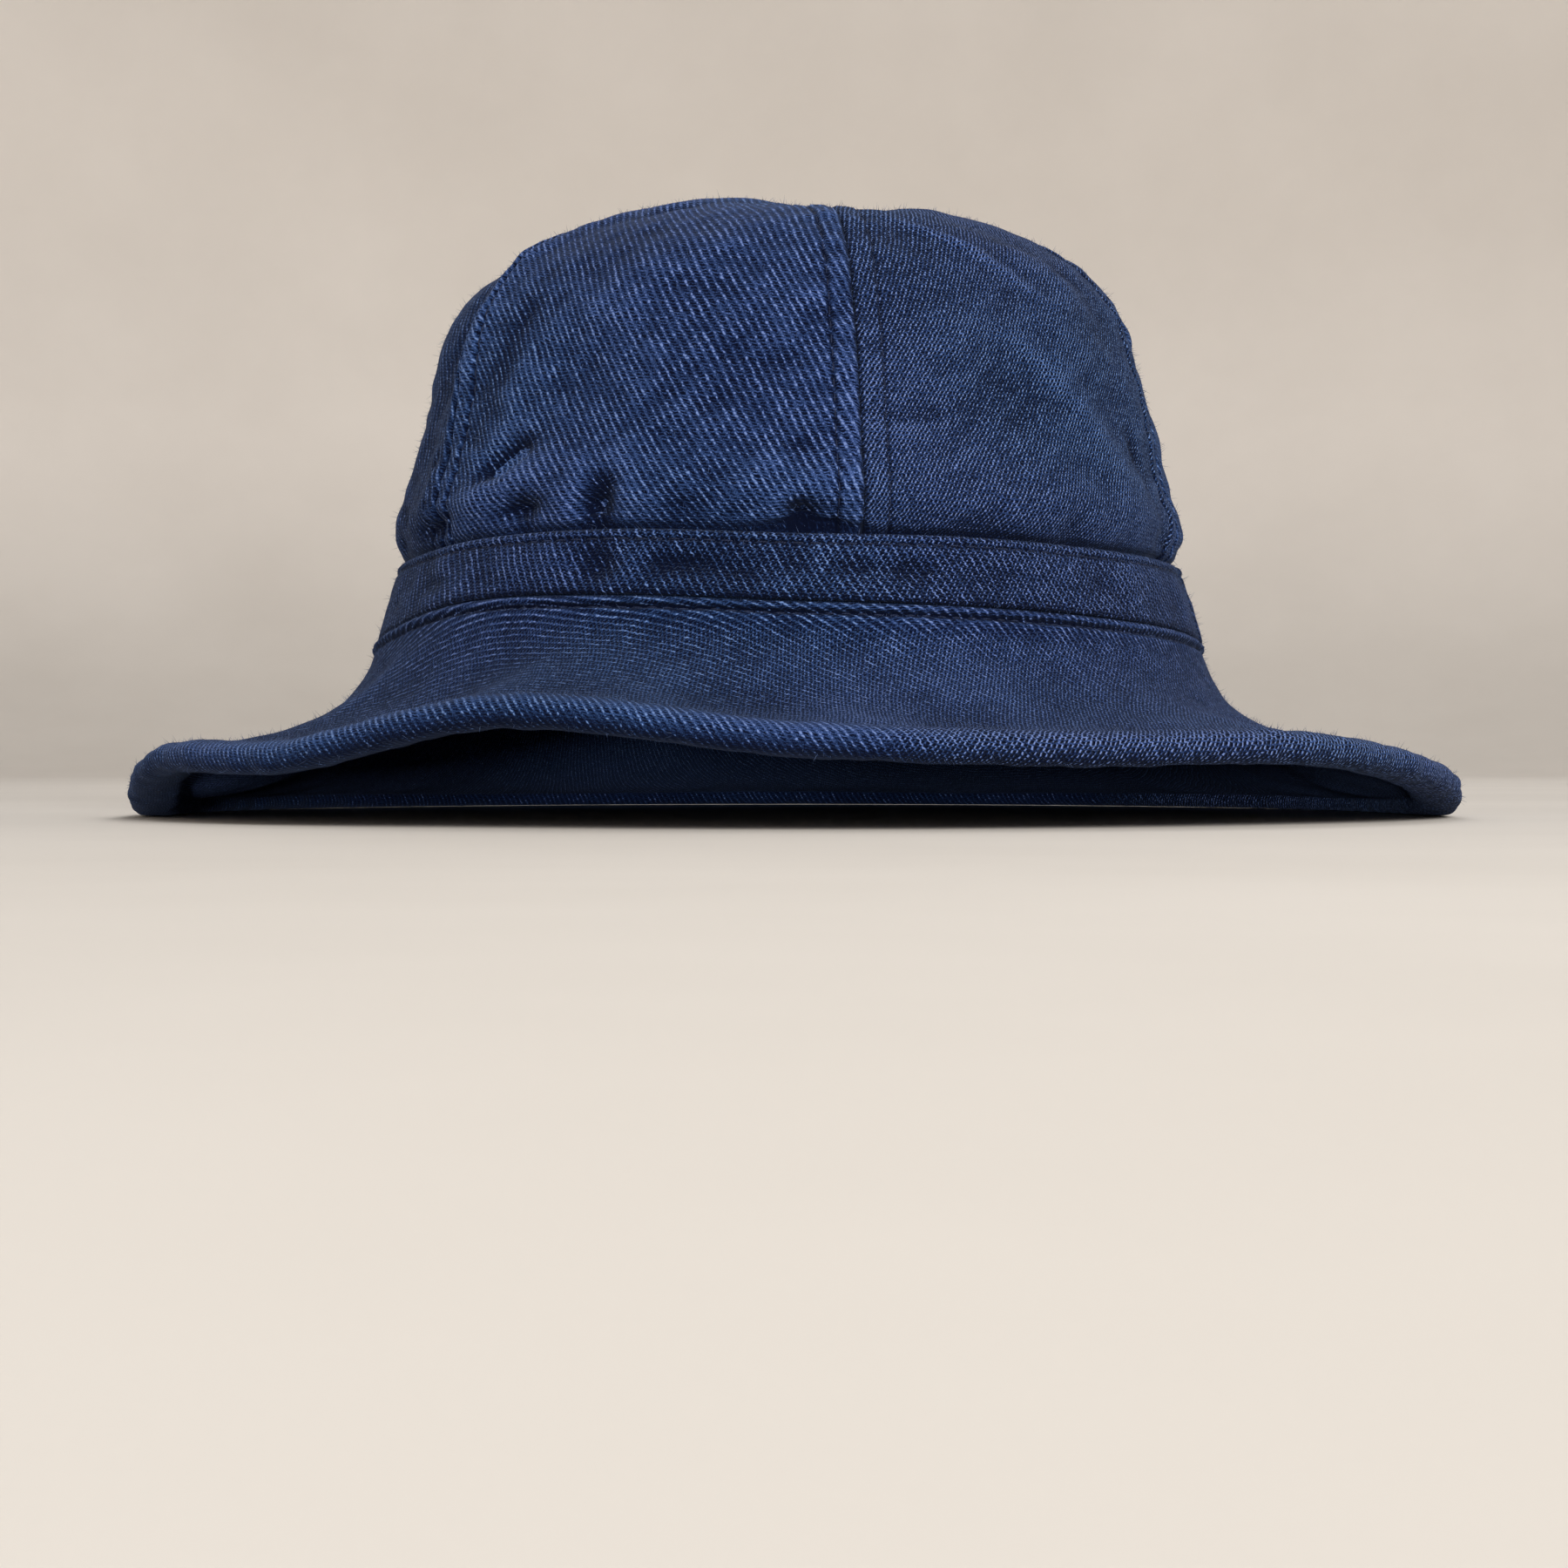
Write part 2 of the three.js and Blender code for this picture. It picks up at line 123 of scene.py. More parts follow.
# ridges and dents of the crown: azimuth, rise up the cloth from its tucked edge, half length along,
# half width across, height, slant up towards +azimuth
CROWN_FOLDS = [
    (-52.5, 55, 34, 5, 1.8, 80),     # left seam stands as a ridge
    (-62.5, 52, 26, 6, -1.8, 78),    # hollow outside that ridge
    (-40.5, 25, 8.5, 4, -2.4, 30),   # left dent
    (-36, 13, 8, 4, -1.5, 14),       # low dent on the left
    (-23.5, 14.5, 6.5, 4.5, -1.7, 80),   # low dent at the front
    (-34, 20, 9, 5, 1.0, 18),        # bulge between those dents
    (4, 11, 11, 4.5, -2.0, 0),       # hollow at the front seam
    (31, 38, 13, 9, -1.5, -30),      # dimple on the right
    (47, 31, 18, 5, 1.3, -48),       # ridge on the right
    (40, 74, 18, 5, 1.5, -50),       # ridge on the right shoulder
    (18, 104, 13, 12, -2.8, 0),      # hollow right of the top
    (-24, 106, 13, 10, 1.6, 0),      # puff left of the top
    (-72, 87, 21, 13, -3.2, 0),      # slack left shoulder
    (-90, 20, 24, 13, -1.6, 0),      # slack left side
    (84, 30, 14, 6, -1.6, 35),       # right side dent
    (112, 56, 20, 6, 1.4, 62),       # ridge behind the right side
    (146, 24, 13, 6, -1.8, -22),     # dents and ridges at the back
    (172, 44, 18, 6, 1.3, 50),
    (214, 28, 14, 6, -1.8, 20),
    (200, 98, 16, 12, -1.8, 0),
    (262, 22, 12, 5.5, -1.6, -28),   # left side dent
]
# sharp creases in the cloth, in the same columns
CROWN_CREASES = [
    (-40, 25, 8.0, 2.8, -1.9, 28),       # in the dents left of the front
    (-36, 12.5, 6.5, 2.4, -1.2, 14),
    (-23.5, 12, 6.5, 3.0, -1.6, 80),
    (-52, 13, 5.0, 2.4, -1.2, 8),
    (-58, 26, 6.0, 2.4, -0.8, 40),
    (-43.5, 48, 20.0, 4.5, -1.2, 72),    # valley beside the ridge of the left seam
    (-51, 60, 26.0, 3.2, 0.7, 80),
    (1.5, 26, 3.2, 1.8, -0.7, 20),       # at the front seam
    (1.5, 12, 2.2, 3.0, -1.4, 70),
    (-12, 13, 7.0, 2.0, -0.6, 8),
    (18, 33, 3.5, 1.8, -0.6, 8),         # right of it
    (36, 45, 10.0, 2.0, 0.5, -42),
    (57, 29, 6.0, 2.2, -1.1, -60),
    (29, 72, 15.0, 1.8, 1.5, -40),       # ridge on the right shoulder, and the hollows behind it
    (39, 78, 12.0, 4.0, -1.0, -40),
    (52, 66, 10.0, 4.0, -0.6, -50),
    (-28, 96, 13.0, 2.4, -0.8, 30),      # left of the top
    (80, 20, 6.0, 1.8, -1.0, 25),        # right side
    (97, 33, 8.0, 2.0, -0.9, -35),
    (116, 22, 6.0, 1.8, -1.1, 18),
    (139, 34, 8.0, 2.0, -1.0, 32),       # back
    (158, 19, 6.0, 1.7, -1.1, -20),
    (181, 30, 9.0, 2.0, -0.9, 25),
    (203, 20, 6.0, 1.8, -1.1, 15),
    (226, 36, 9.0, 2.0, -0.9, -30),
    (238, 21, 6.0, 1.7, -1.0, 22),
    (274, 33, 8.0, 2.0, -1.0, 30),       # left side
    (290, 18, 5.0, 1.7, -1.0, -15),
]
FOLD_FREE_RISE = 6.0         # below this rise the crown is held by its seam
FOLD_FULL_RISE = 13.0
HIDDEN_RISE = 6.0            # painted shade under the crown's puff is deepest at this rise

# small tucks where the crown is gathered into the band, in the same columns
CROWN_TUCKS = [
    (-55, 11, 6.0, 3.0, -2.0, 0),
    (-35, 11, 3.5, 3.5, -1.9, 0),
    (-24, 12, 4.5, 5.5, -2.4, 0),
    (-12, 10, 6.0, 2.5, -0.8, 0),
    (3, 8.0, 10.0, 2.7, -2.8, 0),
    (1.5, 10, 3.0, 4.0, -1.8, 0),
    (24, 10, 7.0, 2.5, -0.8, 0),
    (38, 10, 4.0, 3.0, -0.8, 0),
    (62, 11, 4.0, 4.0, -1.2, 0),
    (88, 11, 4.0, 4.0, -1.3, 0),
    (105, 11, 5.0, 4.5, -1.2, 0),
    (124, 11, 3.5, 5.0, -1.3, 0),
    (150, 11, 5.0, 4.0, -1.4, 0),
    (171, 11, 4.0, 5.0, -1.2, 0),
    (192, 11, 6.0, 4.0, -1.4, 0),
    (220, 11, 4.0, 4.5, -1.3, 0),
    (240, 11, 5.0, 4.0, -1.1, 0),
    (268, 11, 4.0, 5.0, -1.3, 0),
    (286, 11, 5.0, 4.0, -1.2, 0),
]

# dents in the band: azimuth, place on its height, half length along, half height as a part, depth
BAND_DENTS = [
    (-23, 0.6, 4, 0.4, -1.1),
    (-11, 0.45, 14, 0.3, -1.0),
    (14, 0.42, 12, 0.3, -1.0),
    (160, 0.45, 16, 0.3, -1.0),
    (-104, 0.45, 13, 0.3, -0.9),
    (-38, 0.30, 4.5, 0.16, -0.6),        # row of small puckers along its middle
    (-21.7, 0.36, 3.2, 0.20, -1.1),
    (-12.4, 0.46, 5.4, 0.17, -1.1),
    (-5.6, 0.36, 3.4, 0.16, -0.8),
    (1.0, 0.50, 2.8, 0.15, -0.7),
    (7.2, 0.52, 4.8, 0.17, -1.2),
    (14.0, 0.50, 4.0, 0.16, -1.0),
    (25.0, 0.42, 6.5, 0.17, -0.5),
    (41.0, 0.38, 6.0, 0.17, -0.4),
    (60.0, 0.40, 6.0, 0.17, -0.4),
]
# more such puckers around the sides and back: count, azimuths from and to, half height, and the ranges
# of their shift, place on the band's height, half length and depth
BACK_PUCKERS = 17
BACK_ARC = (80.0, 312.0)
BACK_ACROSS = 0.16
BACK_RANGES = ((-4.0, 4.0), (0.34, 0.44), (3.0, 6.5), (0.3, 0.9))

# around the cap, every 20 degrees from the back: heights of the band's lower and upper edge, how far
# out the rim reaches, height of its underside (below 0 the soft rim is pressed flat on the floor)
AROUND = np.array([
    (35.4, 52.5, 151.0, -0.5),
    (35.3, 52.4, 150.0, -0.8),
    (35.2, 52.5, 148.5, -0.8),
    (35.3, 52.8, 147.0, -0.5),
    (35.8, 53.4, 145.5, -0.8),
    (36.6, 54.2, 144.5, 0.4),
    (39.6, 55.0, 146.5, 9.2),
    (43.8, 56.7, 149.5, 9.7),
    (44.0, 57.0, 151.5, 17.6),
    (42.6, 55.8, 152.5, 12.7),       # the front
    (41.8, 55.5, 152.5, 10.9),
    (40.4, 54.6, 151.5, 11.2),
    (38.8, 54.1, 149.5, 6.6),
    (36.8, 53.9, 147.0, 0.4),
    (36.0, 53.4, 147.0, -0.8),
    (35.5, 52.9, 147.5, -0.6),
    (35.3, 52.6, 149.0, -0.5),
    (35.4, 52.5, 150.5, -0.8),
])
AROUND_STEP = 20.0

# profiles across seams and edges: height, middle and half width of each hump or groove
SEAM_PROFILE = [(-0.6, 0.0, 0.45), (-0.42, STITCH_SETBACK, 0.45)]
BAND_PROFILE = [(-0.4, BAND_STITCH_DROP, 0.42), (0.3, BAND_STITCH_DROP - 1.1, 0.8)]
JOIN_PROFILE = [(-0.35, -0.5, 0.5)]
WELT_PROFILE = [(0.6, 0.5 * WELT_WIDTH, 0.6), (-1.0, WELT_WIDTH, 0.5)]
HEM_PROFILE = [(-0.3, 0.6, 0.9)]

# the same for wear, painted shade and painted highlights: below 0 darker, above 0 paler
SEAM_WEAR = [(-0.55, STITCH_SETBACK, 0.5), (-0.6, 0.0, 0.4)]
# painted shade on the cloth just above the band, under the crown's puff
TUCKED_SHADE = [(-1.5, HIDDEN_RISE, 2.4)]
LEFT_SIDE_SHADE = [(-0.3, 0.0, 15.0)]     # painted shade on the side away from the light, in degrees from its middle
# painted shadow under the band's lower edge
BAND_FOOT_SHADOW = [(-1.5, 0.0, 1.1)]
# painted shade in the groove of the band's topstitching and a painted highlight on its top edge
BAND_TOP_SHADE_AND_HIGHLIGHT = [(-0.5, BAND_STITCH_DROP, 0.55), (0.15, 0.5, 0.5)]
# painted shade in the stitched groove beside the welt
WELT_SHADE = [(-0.1, 0.55 * WELT_WIDTH, 0.5), (-1.1, WELT_WIDTH, 0.55)]
# painted sheen on the flare just inside the hem
HEM_BED_SHEEN = [(0.35, 1.6, 1.4)]

# pads beside a seam, and the overlap of the band's ends: height, where it rises, where it falls
SEAM_PAD = (0.4, (0.3, 1.5), (4.1, 5.1))
JOIN_OVERLAP = (0.55, (-0.4, 0.1), (7.0, 9.0))


# curves and plans


def smoothstep(x, low, high):
    """Goes from 0 at low to 1 at high as 3t^2 - 2t^3."""
    t = np.clip((x - low) / (high - low), 0, 1)
    return t * t * (3 - 2 * t)


def bump(x, middle, half_width):
    """A smooth hump: exp of minus the square of the distance from its middle in half widths."""
    return np.exp(-(((x - middle) / half_width) ** 2))


def humps(x, rows):
    return sum(height * bump(x, middle, half_width) for height, middle, half_width in rows)


def plateau(x, height, rise, fall):
    return height * smoothstep(x, *rise) * (1 - smoothstep(x, *fall))


def lerp(a, b, t):
    return a + (b - a) * t


def through(table, place):
    """Smooth curve through the rows of a table, which has one row more at both ends: a cubic between
    two rows whose end slopes are half the chords of their neighbours."""
    row = np.clip(np.floor(place), 0, len(table) - 4).astype(int)
    before, start, end, after = (table[row + step] for step in range(4))
    t = (place - row)[..., None]
    slope_in = (end - before) / 2
    slope_out = (after - start) / 2
    cubic = 2 * start - 2 * end + slope_in + slope_out
    square = 3 * end - 3 * start - 2 * slope_in - slope_out
    return ((cubic * t + square) * t + slope_in) * t + start


def around(column, azimuth):
    """One column of the table around the cap, as a smooth closed curve over the azimuth."""
    place = ((azimuth + 180) / AROUND_STEP) % len(AROUND)
    return through(AROUND_RING[:, column:column + 1], place)[..., 0]


def seam_height(azimuth):
    return around(0, azimuth)


def band_tall(azimuth):
    return around(1, azimuth) - around(0, azimuth)


def rim_reach(azimuth):
    return around(2, azimuth)


def hem_middle(azimuth):
    """Radius and height of the middle of the hem's section."""
    return rim_reach(azimuth) - HEM_WIDTH / 2, around(3, azimuth) + HEM_DEPTH / 2


def oval_radius(azimuth, half_width, half_depth, squareness):
    """Radius of a superellipse: (|x/half_width|^n + |y/half_depth|^n) = 1 along the azimuth."""
    angle = np.radians(azimuth)
    side = np.abs(np.sin(angle)) / np.maximum(half_width, 1e-6)
    front = np.abs(np.cos(angle)) / np.maximum(half_depth, 1e-6)
    return (side ** squareness + front ** squareness) ** (-1 / squareness)


def seam_radius(azimuth):
    return oval_radius(azimuth, SEAM_HALF_WIDTH, SEAM_HALF_DEPTH, PLAN_SQUARENESS)


def band_radius(azimuth, up):
    """The straight band between its two ovals, at a part of its height."""
    top = oval_radius(azimuth, BAND_TOP_HALF_WIDTH, BAND_TOP_HALF_DEPTH, PLAN_SQUARENESS)
    return lerp(seam_radius(azimuth), top, up)


def polar(radius, azimuth, height):
    """Points (x, y, z) at a radius, azimuth and height around the axis."""
    angle = np.radians(azimuth)
    radius, angle, height = np.broadcast_arrays(radius, angle, height)
    return np.stack([radius * np.sin(angle), -radius * np.cos(angle), height], -1)


def turn_between(start, azimuth):
    """Shortest turn from one azimuth to another, in degrees."""
    return (azimuth - start + 540) % 360 - 180


def unit(vectors):
    return vectors / np.maximum(np.linalg.norm(vectors, axis=-1, keepdims=True), 1e-9)


def wave_set(count, shortest, longest):
    """Random plane waves for an uneven surface: wave vectors and phases."""
    lengths = shortest * (longest / shortest) ** rng.random(count)
    vectors = unit(rng.normal(size=(count, 3))) * (2 * np.pi / lengths)[:, None]
    return vectors, rng.uniform(0, 2 * np.pi, count)


def unevenness(points, waves):
    """Sum of the sines of all waves at each point, scaled to about 1."""
    vectors, phases = waves
    total = np.zeros(points.shape[:-1])
    for vector, phase in zip(vectors, phases):
        total += np.sin(points @ vector + phase)
    return total / np.sqrt(len(phases) / 2)


def raised(height, rows, columns, wrap="edge"):
    """How far each point of a grid of heights stands above the mean of the window around it."""
    padded = np.pad(height, ((rows, rows), (0, 0)), mode="edge")
    padded = np.pad(padded, ((0, 0), (columns, columns)), mode=wrap)
    window = (2 * rows + 1, 2 * columns + 1)
    return height - np.lib.stride_tricks.sliding_window_view(padded, window).mean((-1, -2))


AROUND_RING = np.pad(AROUND, ((1, 2), (0, 0)), "wrap")
SLACK_WAVES = wave_set(count=16, shortest=16, longest=46)
CRINKLE_WAVES = wave_set(count=18, shortest=5, longest=12)
HEM_WAVES = wave_set(count=14, shortest=4, longest=14)


# crown

FOOT_ROW = 2 * CROWN_SECTIONS[0] - CROWN_SECTIONS[1]
PEAK_ROW = 2 * CROWN_SECTIONS[-1] - CROWN_SECTIONS[-2]
CROWN_ROWS = np.vstack([FOOT_ROW, CROWN_SECTIONS, PEAK_ROW])


def crown_section(place):
    """Height, half width and half depth at a position in the section table, 0 to TOP_PLACE."""
    return np.moveaxis(through(CROWN_ROWS, place), -1, 0)


PLACES = np.linspace(0, TOP_PLACE, 1301)
SIDE_HEIGHTS, SIDE_RADII, _ = crown_section(PLACES)
RISES = np.append(0, np.cumsum(np.hypot(np.diff(SIDE_RADII), np.diff(SIDE_HEIGHTS))))


def rise_of(place):
    """How far up the cloth a place lies, measured on the side of the crown."""
    return np.interp(place, PLACES, RISES)


def place_of(rise):
    return np.interp(rise, RISES, PLACES)


def crown_radius(azimuth, place):
    _, half_width, half_depth = crown_section(place)
    squareness = lerp(PLAN_SQUARENESS, TOP_SQUARENESS, place / TOP_PLACE)
    return oval_radius(azimuth, half_width, half_depth, squareness)


def smooth_crown(azimuth, place):
    """The crown without its folds; its foot goes up and down with the top of the band."""
    height, _, _ = crown_section(place)
    follow = 1 - smoothstep(height, MEAN_BAND_TOP, BAND_WAVE_FADE)
    wave = (around(1, azimuth) - MEAN_BAND_TOP) * follow
    return polar(crown_radius(azimuth, place), azimuth, height + wave)


def crown_normal(azimuth, place):
    """Cross product of the steps around and up the smooth crown."""
    turn = 0.5
    climb = 0.05
    high = np.minimum(place + climb, TOP_PLACE - climb)
    low = np.maximum(np.minimum(place, high) - climb, 0)
    about = smooth_crown(azimuth + turn, place) - smooth_crown(azimuth - turn, place)
    up = smooth_crown(azimuth, high) - smooth_crown(azimuth, low)
    return unit(np.cross(about, up))


def crown_folds(azimuth, place, table):
    """Sum of all dents and ridges of a table, each longer along its slant than across it."""
    rise = rise_of(place)
    radius = crown_radius(azimuth, place)
    height = np.zeros_like(rise)
    for fold_azimuth, fold_rise, along, across, depth, slant in table:
        aside = np.radians(turn_between(fold_azimuth, azimuth)) * radius
        up = rise - fold_rise
        cosine = np.cos(np.radians(slant))
        sine = np.sin(np.radians(slant))
        down_fold = (aside * cosine + up * sine) / along
        over_fold = (up * cosine - aside * sine) / across
        height += depth * np.exp(-(down_fold ** 2) - over_fold ** 2)
    return height


CROWN_SLACK = 0.4
CROWN_CRINKLE = 0.14
PUCKER_HEIGHT = 0.3
PUCKER_RISE = (0.4, 2.4)     # puckers rise over these distances from a seam
PUCKER_FULL = 4.0            # and fall from here on, over the next distance
PUCKER_FADE = 5.0
PUCKER_LENGTHS = np.array([5.1, 7.4, 10.3, 15.7])
PUCKER_PHASES = rng.uniform(0, 2 * np.pi, (len(SEAMS), 2, len(PUCKER_LENGTHS)))


def nearest_seam(azimuth, place):
    """Distance to the nearest crown seam, which seam it is, and on which side of it."""
    radius = crown_radius(azimuth, place)
    turns = np.stack([turn_between(seam, azimuth) for seam in SEAMS])
    nearest = np.argmin(np.abs(turns), axis=0)
    turn = np.take_along_axis(turns, nearest[None], 0)[0]
    return np.radians(np.abs(turn)) * radius, nearest, (turn > 0).astype(int)


def seam_relief(azimuth, place):
    """Pressed-open seam: a groove on the seam, a pad on each side of it that ends in a stitched
    channel, and puckers that die out away from the stitches."""
    distance, seam, side = nearest_seam(azimuth, place)
    turns = 2 * np.pi * rise_of(place)[..., None] / PUCKER_LENGTHS
    waves = np.sin(turns + PUCKER_PHASES[seam, side]).mean(-1)
    fading = bump(np.maximum(distance - PUCKER_FULL, 0), 0, PUCKER_FADE)
    reach = smoothstep(distance, *PUCKER_RISE) * fading
    pressed = humps(distance, SEAM_PROFILE) + plateau(distance, *SEAM_PAD)
    return pressed + PUCKER_HEIGHT * waves * reach


def crown_surface(azimuth, place):
    """Outer face of the crown, its smooth normals, the folds alone (for the inner face), the crown
    without any of them, and the creases."""
    base = smooth_crown(azimuth, place)
    normal = crown_normal(azimuth, place)
    free = smoothstep(rise_of(place), FOLD_FREE_RISE, FOLD_FULL_RISE)
    folds = free * crown_folds(azimuth, place, CROWN_FOLDS) + crown_folds(azimuth, place, CROWN_TUCKS)
    folds = folds + free * CROWN_SLACK * unevenness(base, SLACK_WAVES)
    creases = free * crown_folds(azimuth, place, CROWN_CREASES)
    crinkle = free * CROWN_CRINKLE * unevenness(base, CRINKLE_WAVES)
    relief = seam_relief(azimuth, place) + creases + crinkle
    return base + normal * (folds + relief)[..., None], normal, folds, base, creases


# meshes


def axis_offset():
    """Where the crown's axis stands in the frame: the brim's box less how far its rim reaches."""
    columns = np.arange(0, 360, 5.0)
    rim = polar(rim_reach(columns), columns, 0.0)
    _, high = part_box("brim")
    return np.array([high.x / MM - rim[:, 0].max(), high.y / MM - rim[:, 1].max(), 0.0])


AXIS = axis_offset()


def grid_corners(rows, columns, wrap_rows=False, wrap_columns=False):
    """Row and column numbers of each quad's four corners, past the last ones where it wraps."""
    row, column = np.meshgrid(np.arange(rows if wrap_rows else rows - 1),
                              np.arange(columns if wrap_columns else columns - 1), indexing="ij")
    corner_rows = np.stack([row, row, row + 1, row + 1], -1).reshape(-1, 4)
    corner_columns = np.stack([column, column + 1, column + 1, column], -1).reshape(-1, 4)
    return corner_rows, corner_columns


def placed(name, data):
    """A new object in the scene."""
    made = bpy.data.objects.new(name, data)
    bpy.context.scene.collection.objects.link(made)
    return made


def cloth_object(name, points, quads, triangles, corner_uv, wear_and_shade, ribs=1.0, net=1.0, layer="cloth"):
    """A mesh object from points in millimetres around the axis, with a uv in millimetres of flat
    cloth for each face corner, and a wear with painted shade and highlights and the strengths of ribs
    and net for each point."""
    mesh = bpy.data.meshes.new(name)
    corners = np.append(quads, triangles).astype(np.int32)
    sizes = np.repeat([4, 3], [len(quads), len(triangles)])
    mesh.vertices.add(len(points))
    mesh.vertices.foreach_set("co", ((points + AXIS) * MM).astype(np.float32).ravel())
    mesh.loops.add(len(corners))
    mesh.loops.foreach_set("vertex_index", corners)
    mesh.polygons.add(len(sizes))
    mesh.polygons.foreach_set("loop_start", (np.cumsum(sizes) - sizes).astype(np.int32))
    mesh.polygons.foreach_set("use_smooth", np.ones(len(sizes), bool))
    mesh.update(calc_edges=True)
    mesh.validate()
    uv = mesh.uv_layers.new(name=layer)
    uv.data.foreach_set("uv", corner_uv.astype(np.float32).ravel())
    for label, values in (("wear_and_shade", wear_and_shade), ("ribs", ribs), ("net", net)):
        spread = np.zeros(len(points)) + np.ravel(values)
        layer_data = mesh.attributes.new(label, "FLOAT", "POINT").data
        layer_data.foreach_set("value", spread.astype(np.float32))
    return placed(name, mesh)


NO_TRIANGLES = np.zeros((0, 3), int)
NO_QUADS = np.zeros((0, 4), int)
# inner faces are paler, like the back of the cloth, and painted paler still as light that falls inside
# the cap
INSIDE_PALE_AND_PAINTED_LIGHT = 0.6
WEAR_AND_SHADE_RANGE = (-1.3, 0.5)
RAISED_WEAR_AND_SHADE = 1.2            # pale wear on what stands up and painted shade in what lies lower, to a millimetre above the cloth around

LOW_ROWS = 36                # rows of a panel in the gathered strip above the band
HIGH_ROWS = 144
LOW_STRIP = 18.0
SEAM_COLUMNS = 30            # columns of a panel in the strip along each seam
MIDDLE_COLUMNS = 100
SEAM_STRIP = 9.5
SEAM_STRIP_PART = 0.35       # the most of a panel's width that this strip takes up
ALLOWANCE = 1.0              # thickness of the cloth folded back behind a seam
ALLOWANCE_EDGE = (STITCH_SETBACK + 1, STITCH_SETBACK + 3)
PANEL_WINDOW = (5, 6)        # rows and columns on each side that count as the cloth around
HEIGHT_WEAR_AND_SHADE = 0.12           # pale wear on what stands up and painted shade in dents, to a millimetre of height
# painted shade in creases and painted highlight on their ridges
CREASE_SHADE = 0.6
RIDGE_HIGHLIGHT = 0.5
TOP_PALE = 0.32
TOP_RISES = (70.0, 105.0)
# middle of the painted shade on the side away from the light
LEFT_SIDE = -65.0
TUCKED_GRAIN = 0.8 / 1.5     # loss of the grain to a unit of the painted shade above the band


def panel_grid(start, end):
    """Azimuths, places and distances across of a panel's grid: rows follow the cloth upwards, and
    columns keep their distance from the nearer seam as the panel narrows."""
    top = np.interp(TIP_RADIUS, SIDE_RADII[::-1], RISES[::-1])
    rises = np.append(np.linspace(0, LOW_STRIP, LOW_ROWS, endpoint=False),
                      np.linspace(LOW_STRIP, top, HIGH_ROWS + 1))
    places = place_of(rises)[:, None]
    width = np.radians(end - start) * crown_radius(np.array((start + end) / 2), places)
    strip = np.minimum(SEAM_STRIP, SEAM_STRIP_PART * width)
    near = np.linspace(0, 1, SEAM_COLUMNS, endpoint=False)
    middle = np.linspace(0, 1, MIDDLE_COLUMNS + 1)
    across = np.concatenate([strip * near, strip + (width - 2 * strip) * middle,
                             width - strip * near[::-1]], axis=1)
    across = SEWN_GAP / 2 + across * (1 - SEWN_GAP / width)
    azimuths = start + (end - start) * across / width
    return azimuths, np.broadcast_to(places, azimuths.shape), across - width / 2


def panel_wear_and_shade(azimuth, place, height, creases):
    """Paler on what stands up and near the top, with painted shade in hollows and creases, painted
    highlights on ridges, darker along seams, and painted shade on the left.
    """
    wear_and_shade = np.clip(RAISED_WEAR_AND_SHADE * raised(height, *PANEL_WINDOW) + HEIGHT_WEAR_AND_SHADE * height, *WEAR_AND_SHADE_RANGE)
    wear_and_shade = wear_and_shade + CREASE_SHADE * np.minimum(creases, 0) + RIDGE_HIGHLIGHT * np.maximum(creases, 0)
    wear_and_shade = wear_and_shade + humps(nearest_seam(azimuth, place)[0], SEAM_WEAR)
    wear_and_shade = wear_and_shade + TOP_PALE * smoothstep(rise_of(place), *TOP_RISES)
    return wear_and_shade + humps(turn_between(LEFT_SIDE, azimuth), LEFT_SIDE_SHADE)


def panel_mesh(name, start, end):
    """One crown panel: a fine outer grid, an inner grid with half its lines, and a rim between."""
    azimuth, place, across = panel_grid(start, end)
    outer, normal, folds, base, creases = crown_surface(azimuth, place)
    rows, columns = azimuth.shape
    half = (slice(None, None, 2), slice(None, None, 2))
    distance, _, _ = nearest_seam(azimuth[half], place[half])
    wall = CROWN_WALL + ALLOWANCE * (1 - smoothstep(distance, *ALLOWANCE_EDGE))
    inner = base[half] + normal[half] * (folds[half] - wall)[..., None]
    inner_rows, inner_columns = inner.shape[:2]

    row, column = grid_corners(rows, columns)
    inner_row, inner_column = grid_corners(inner_rows, inner_columns)
    inner_quads = (inner_row * inner_columns + inner_column)[:, ::-1] + rows * columns
    quads = np.concatenate([row * columns + column, inner_quads])
    inner_border = border_loop(inner_rows, inner_columns) + rows * columns
    rim = rim_triangles(border_loop(rows, columns), inner_border)
    flat = np.stack([across, rise_of(place)], -1)
    flat = np.concatenate([flat.reshape(-1, 2), flat[half].reshape(-1, 2)])
    corner_uv = np.concatenate([flat[quads].reshape(-1, 2), flat[rim].reshape(-1, 2)])
    points = np.concatenate([outer.reshape(-1, 3), inner.reshape(-1, 3)])

    # painted shade just above the band, where the crown's puff overhangs it
    tucked_shade = humps(rise_of(place), TUCKED_SHADE)
    wear_and_shade = panel_wear_and_shade(azimuth, place, ((outer - base) * normal).sum(-1), creases) + tucked_shade
    inside = np.ones(inner_rows * inner_columns)
    wear_and_shade = np.append(wear_and_shade, INSIDE_PALE_AND_PAINTED_LIGHT * inside)
    grain = np.append(1 + TUCKED_GRAIN * tucked_shade, inside)
    return cloth_object(name, points, quads, rim, corner_uv, wear_and_shade, grain, grain)


def border_loop(rows, columns):
    """Point numbers once around the border of a grid, its first row first."""
    first = np.arange(columns - 1)
    right = np.arange(rows - 1) * columns + columns - 1
    last = (rows - 1) * columns + np.arange(columns - 1, 0, -1)
    left = np.arange(rows - 1, 0, -1) * columns
    return np.concatenate([first, right, last, left])


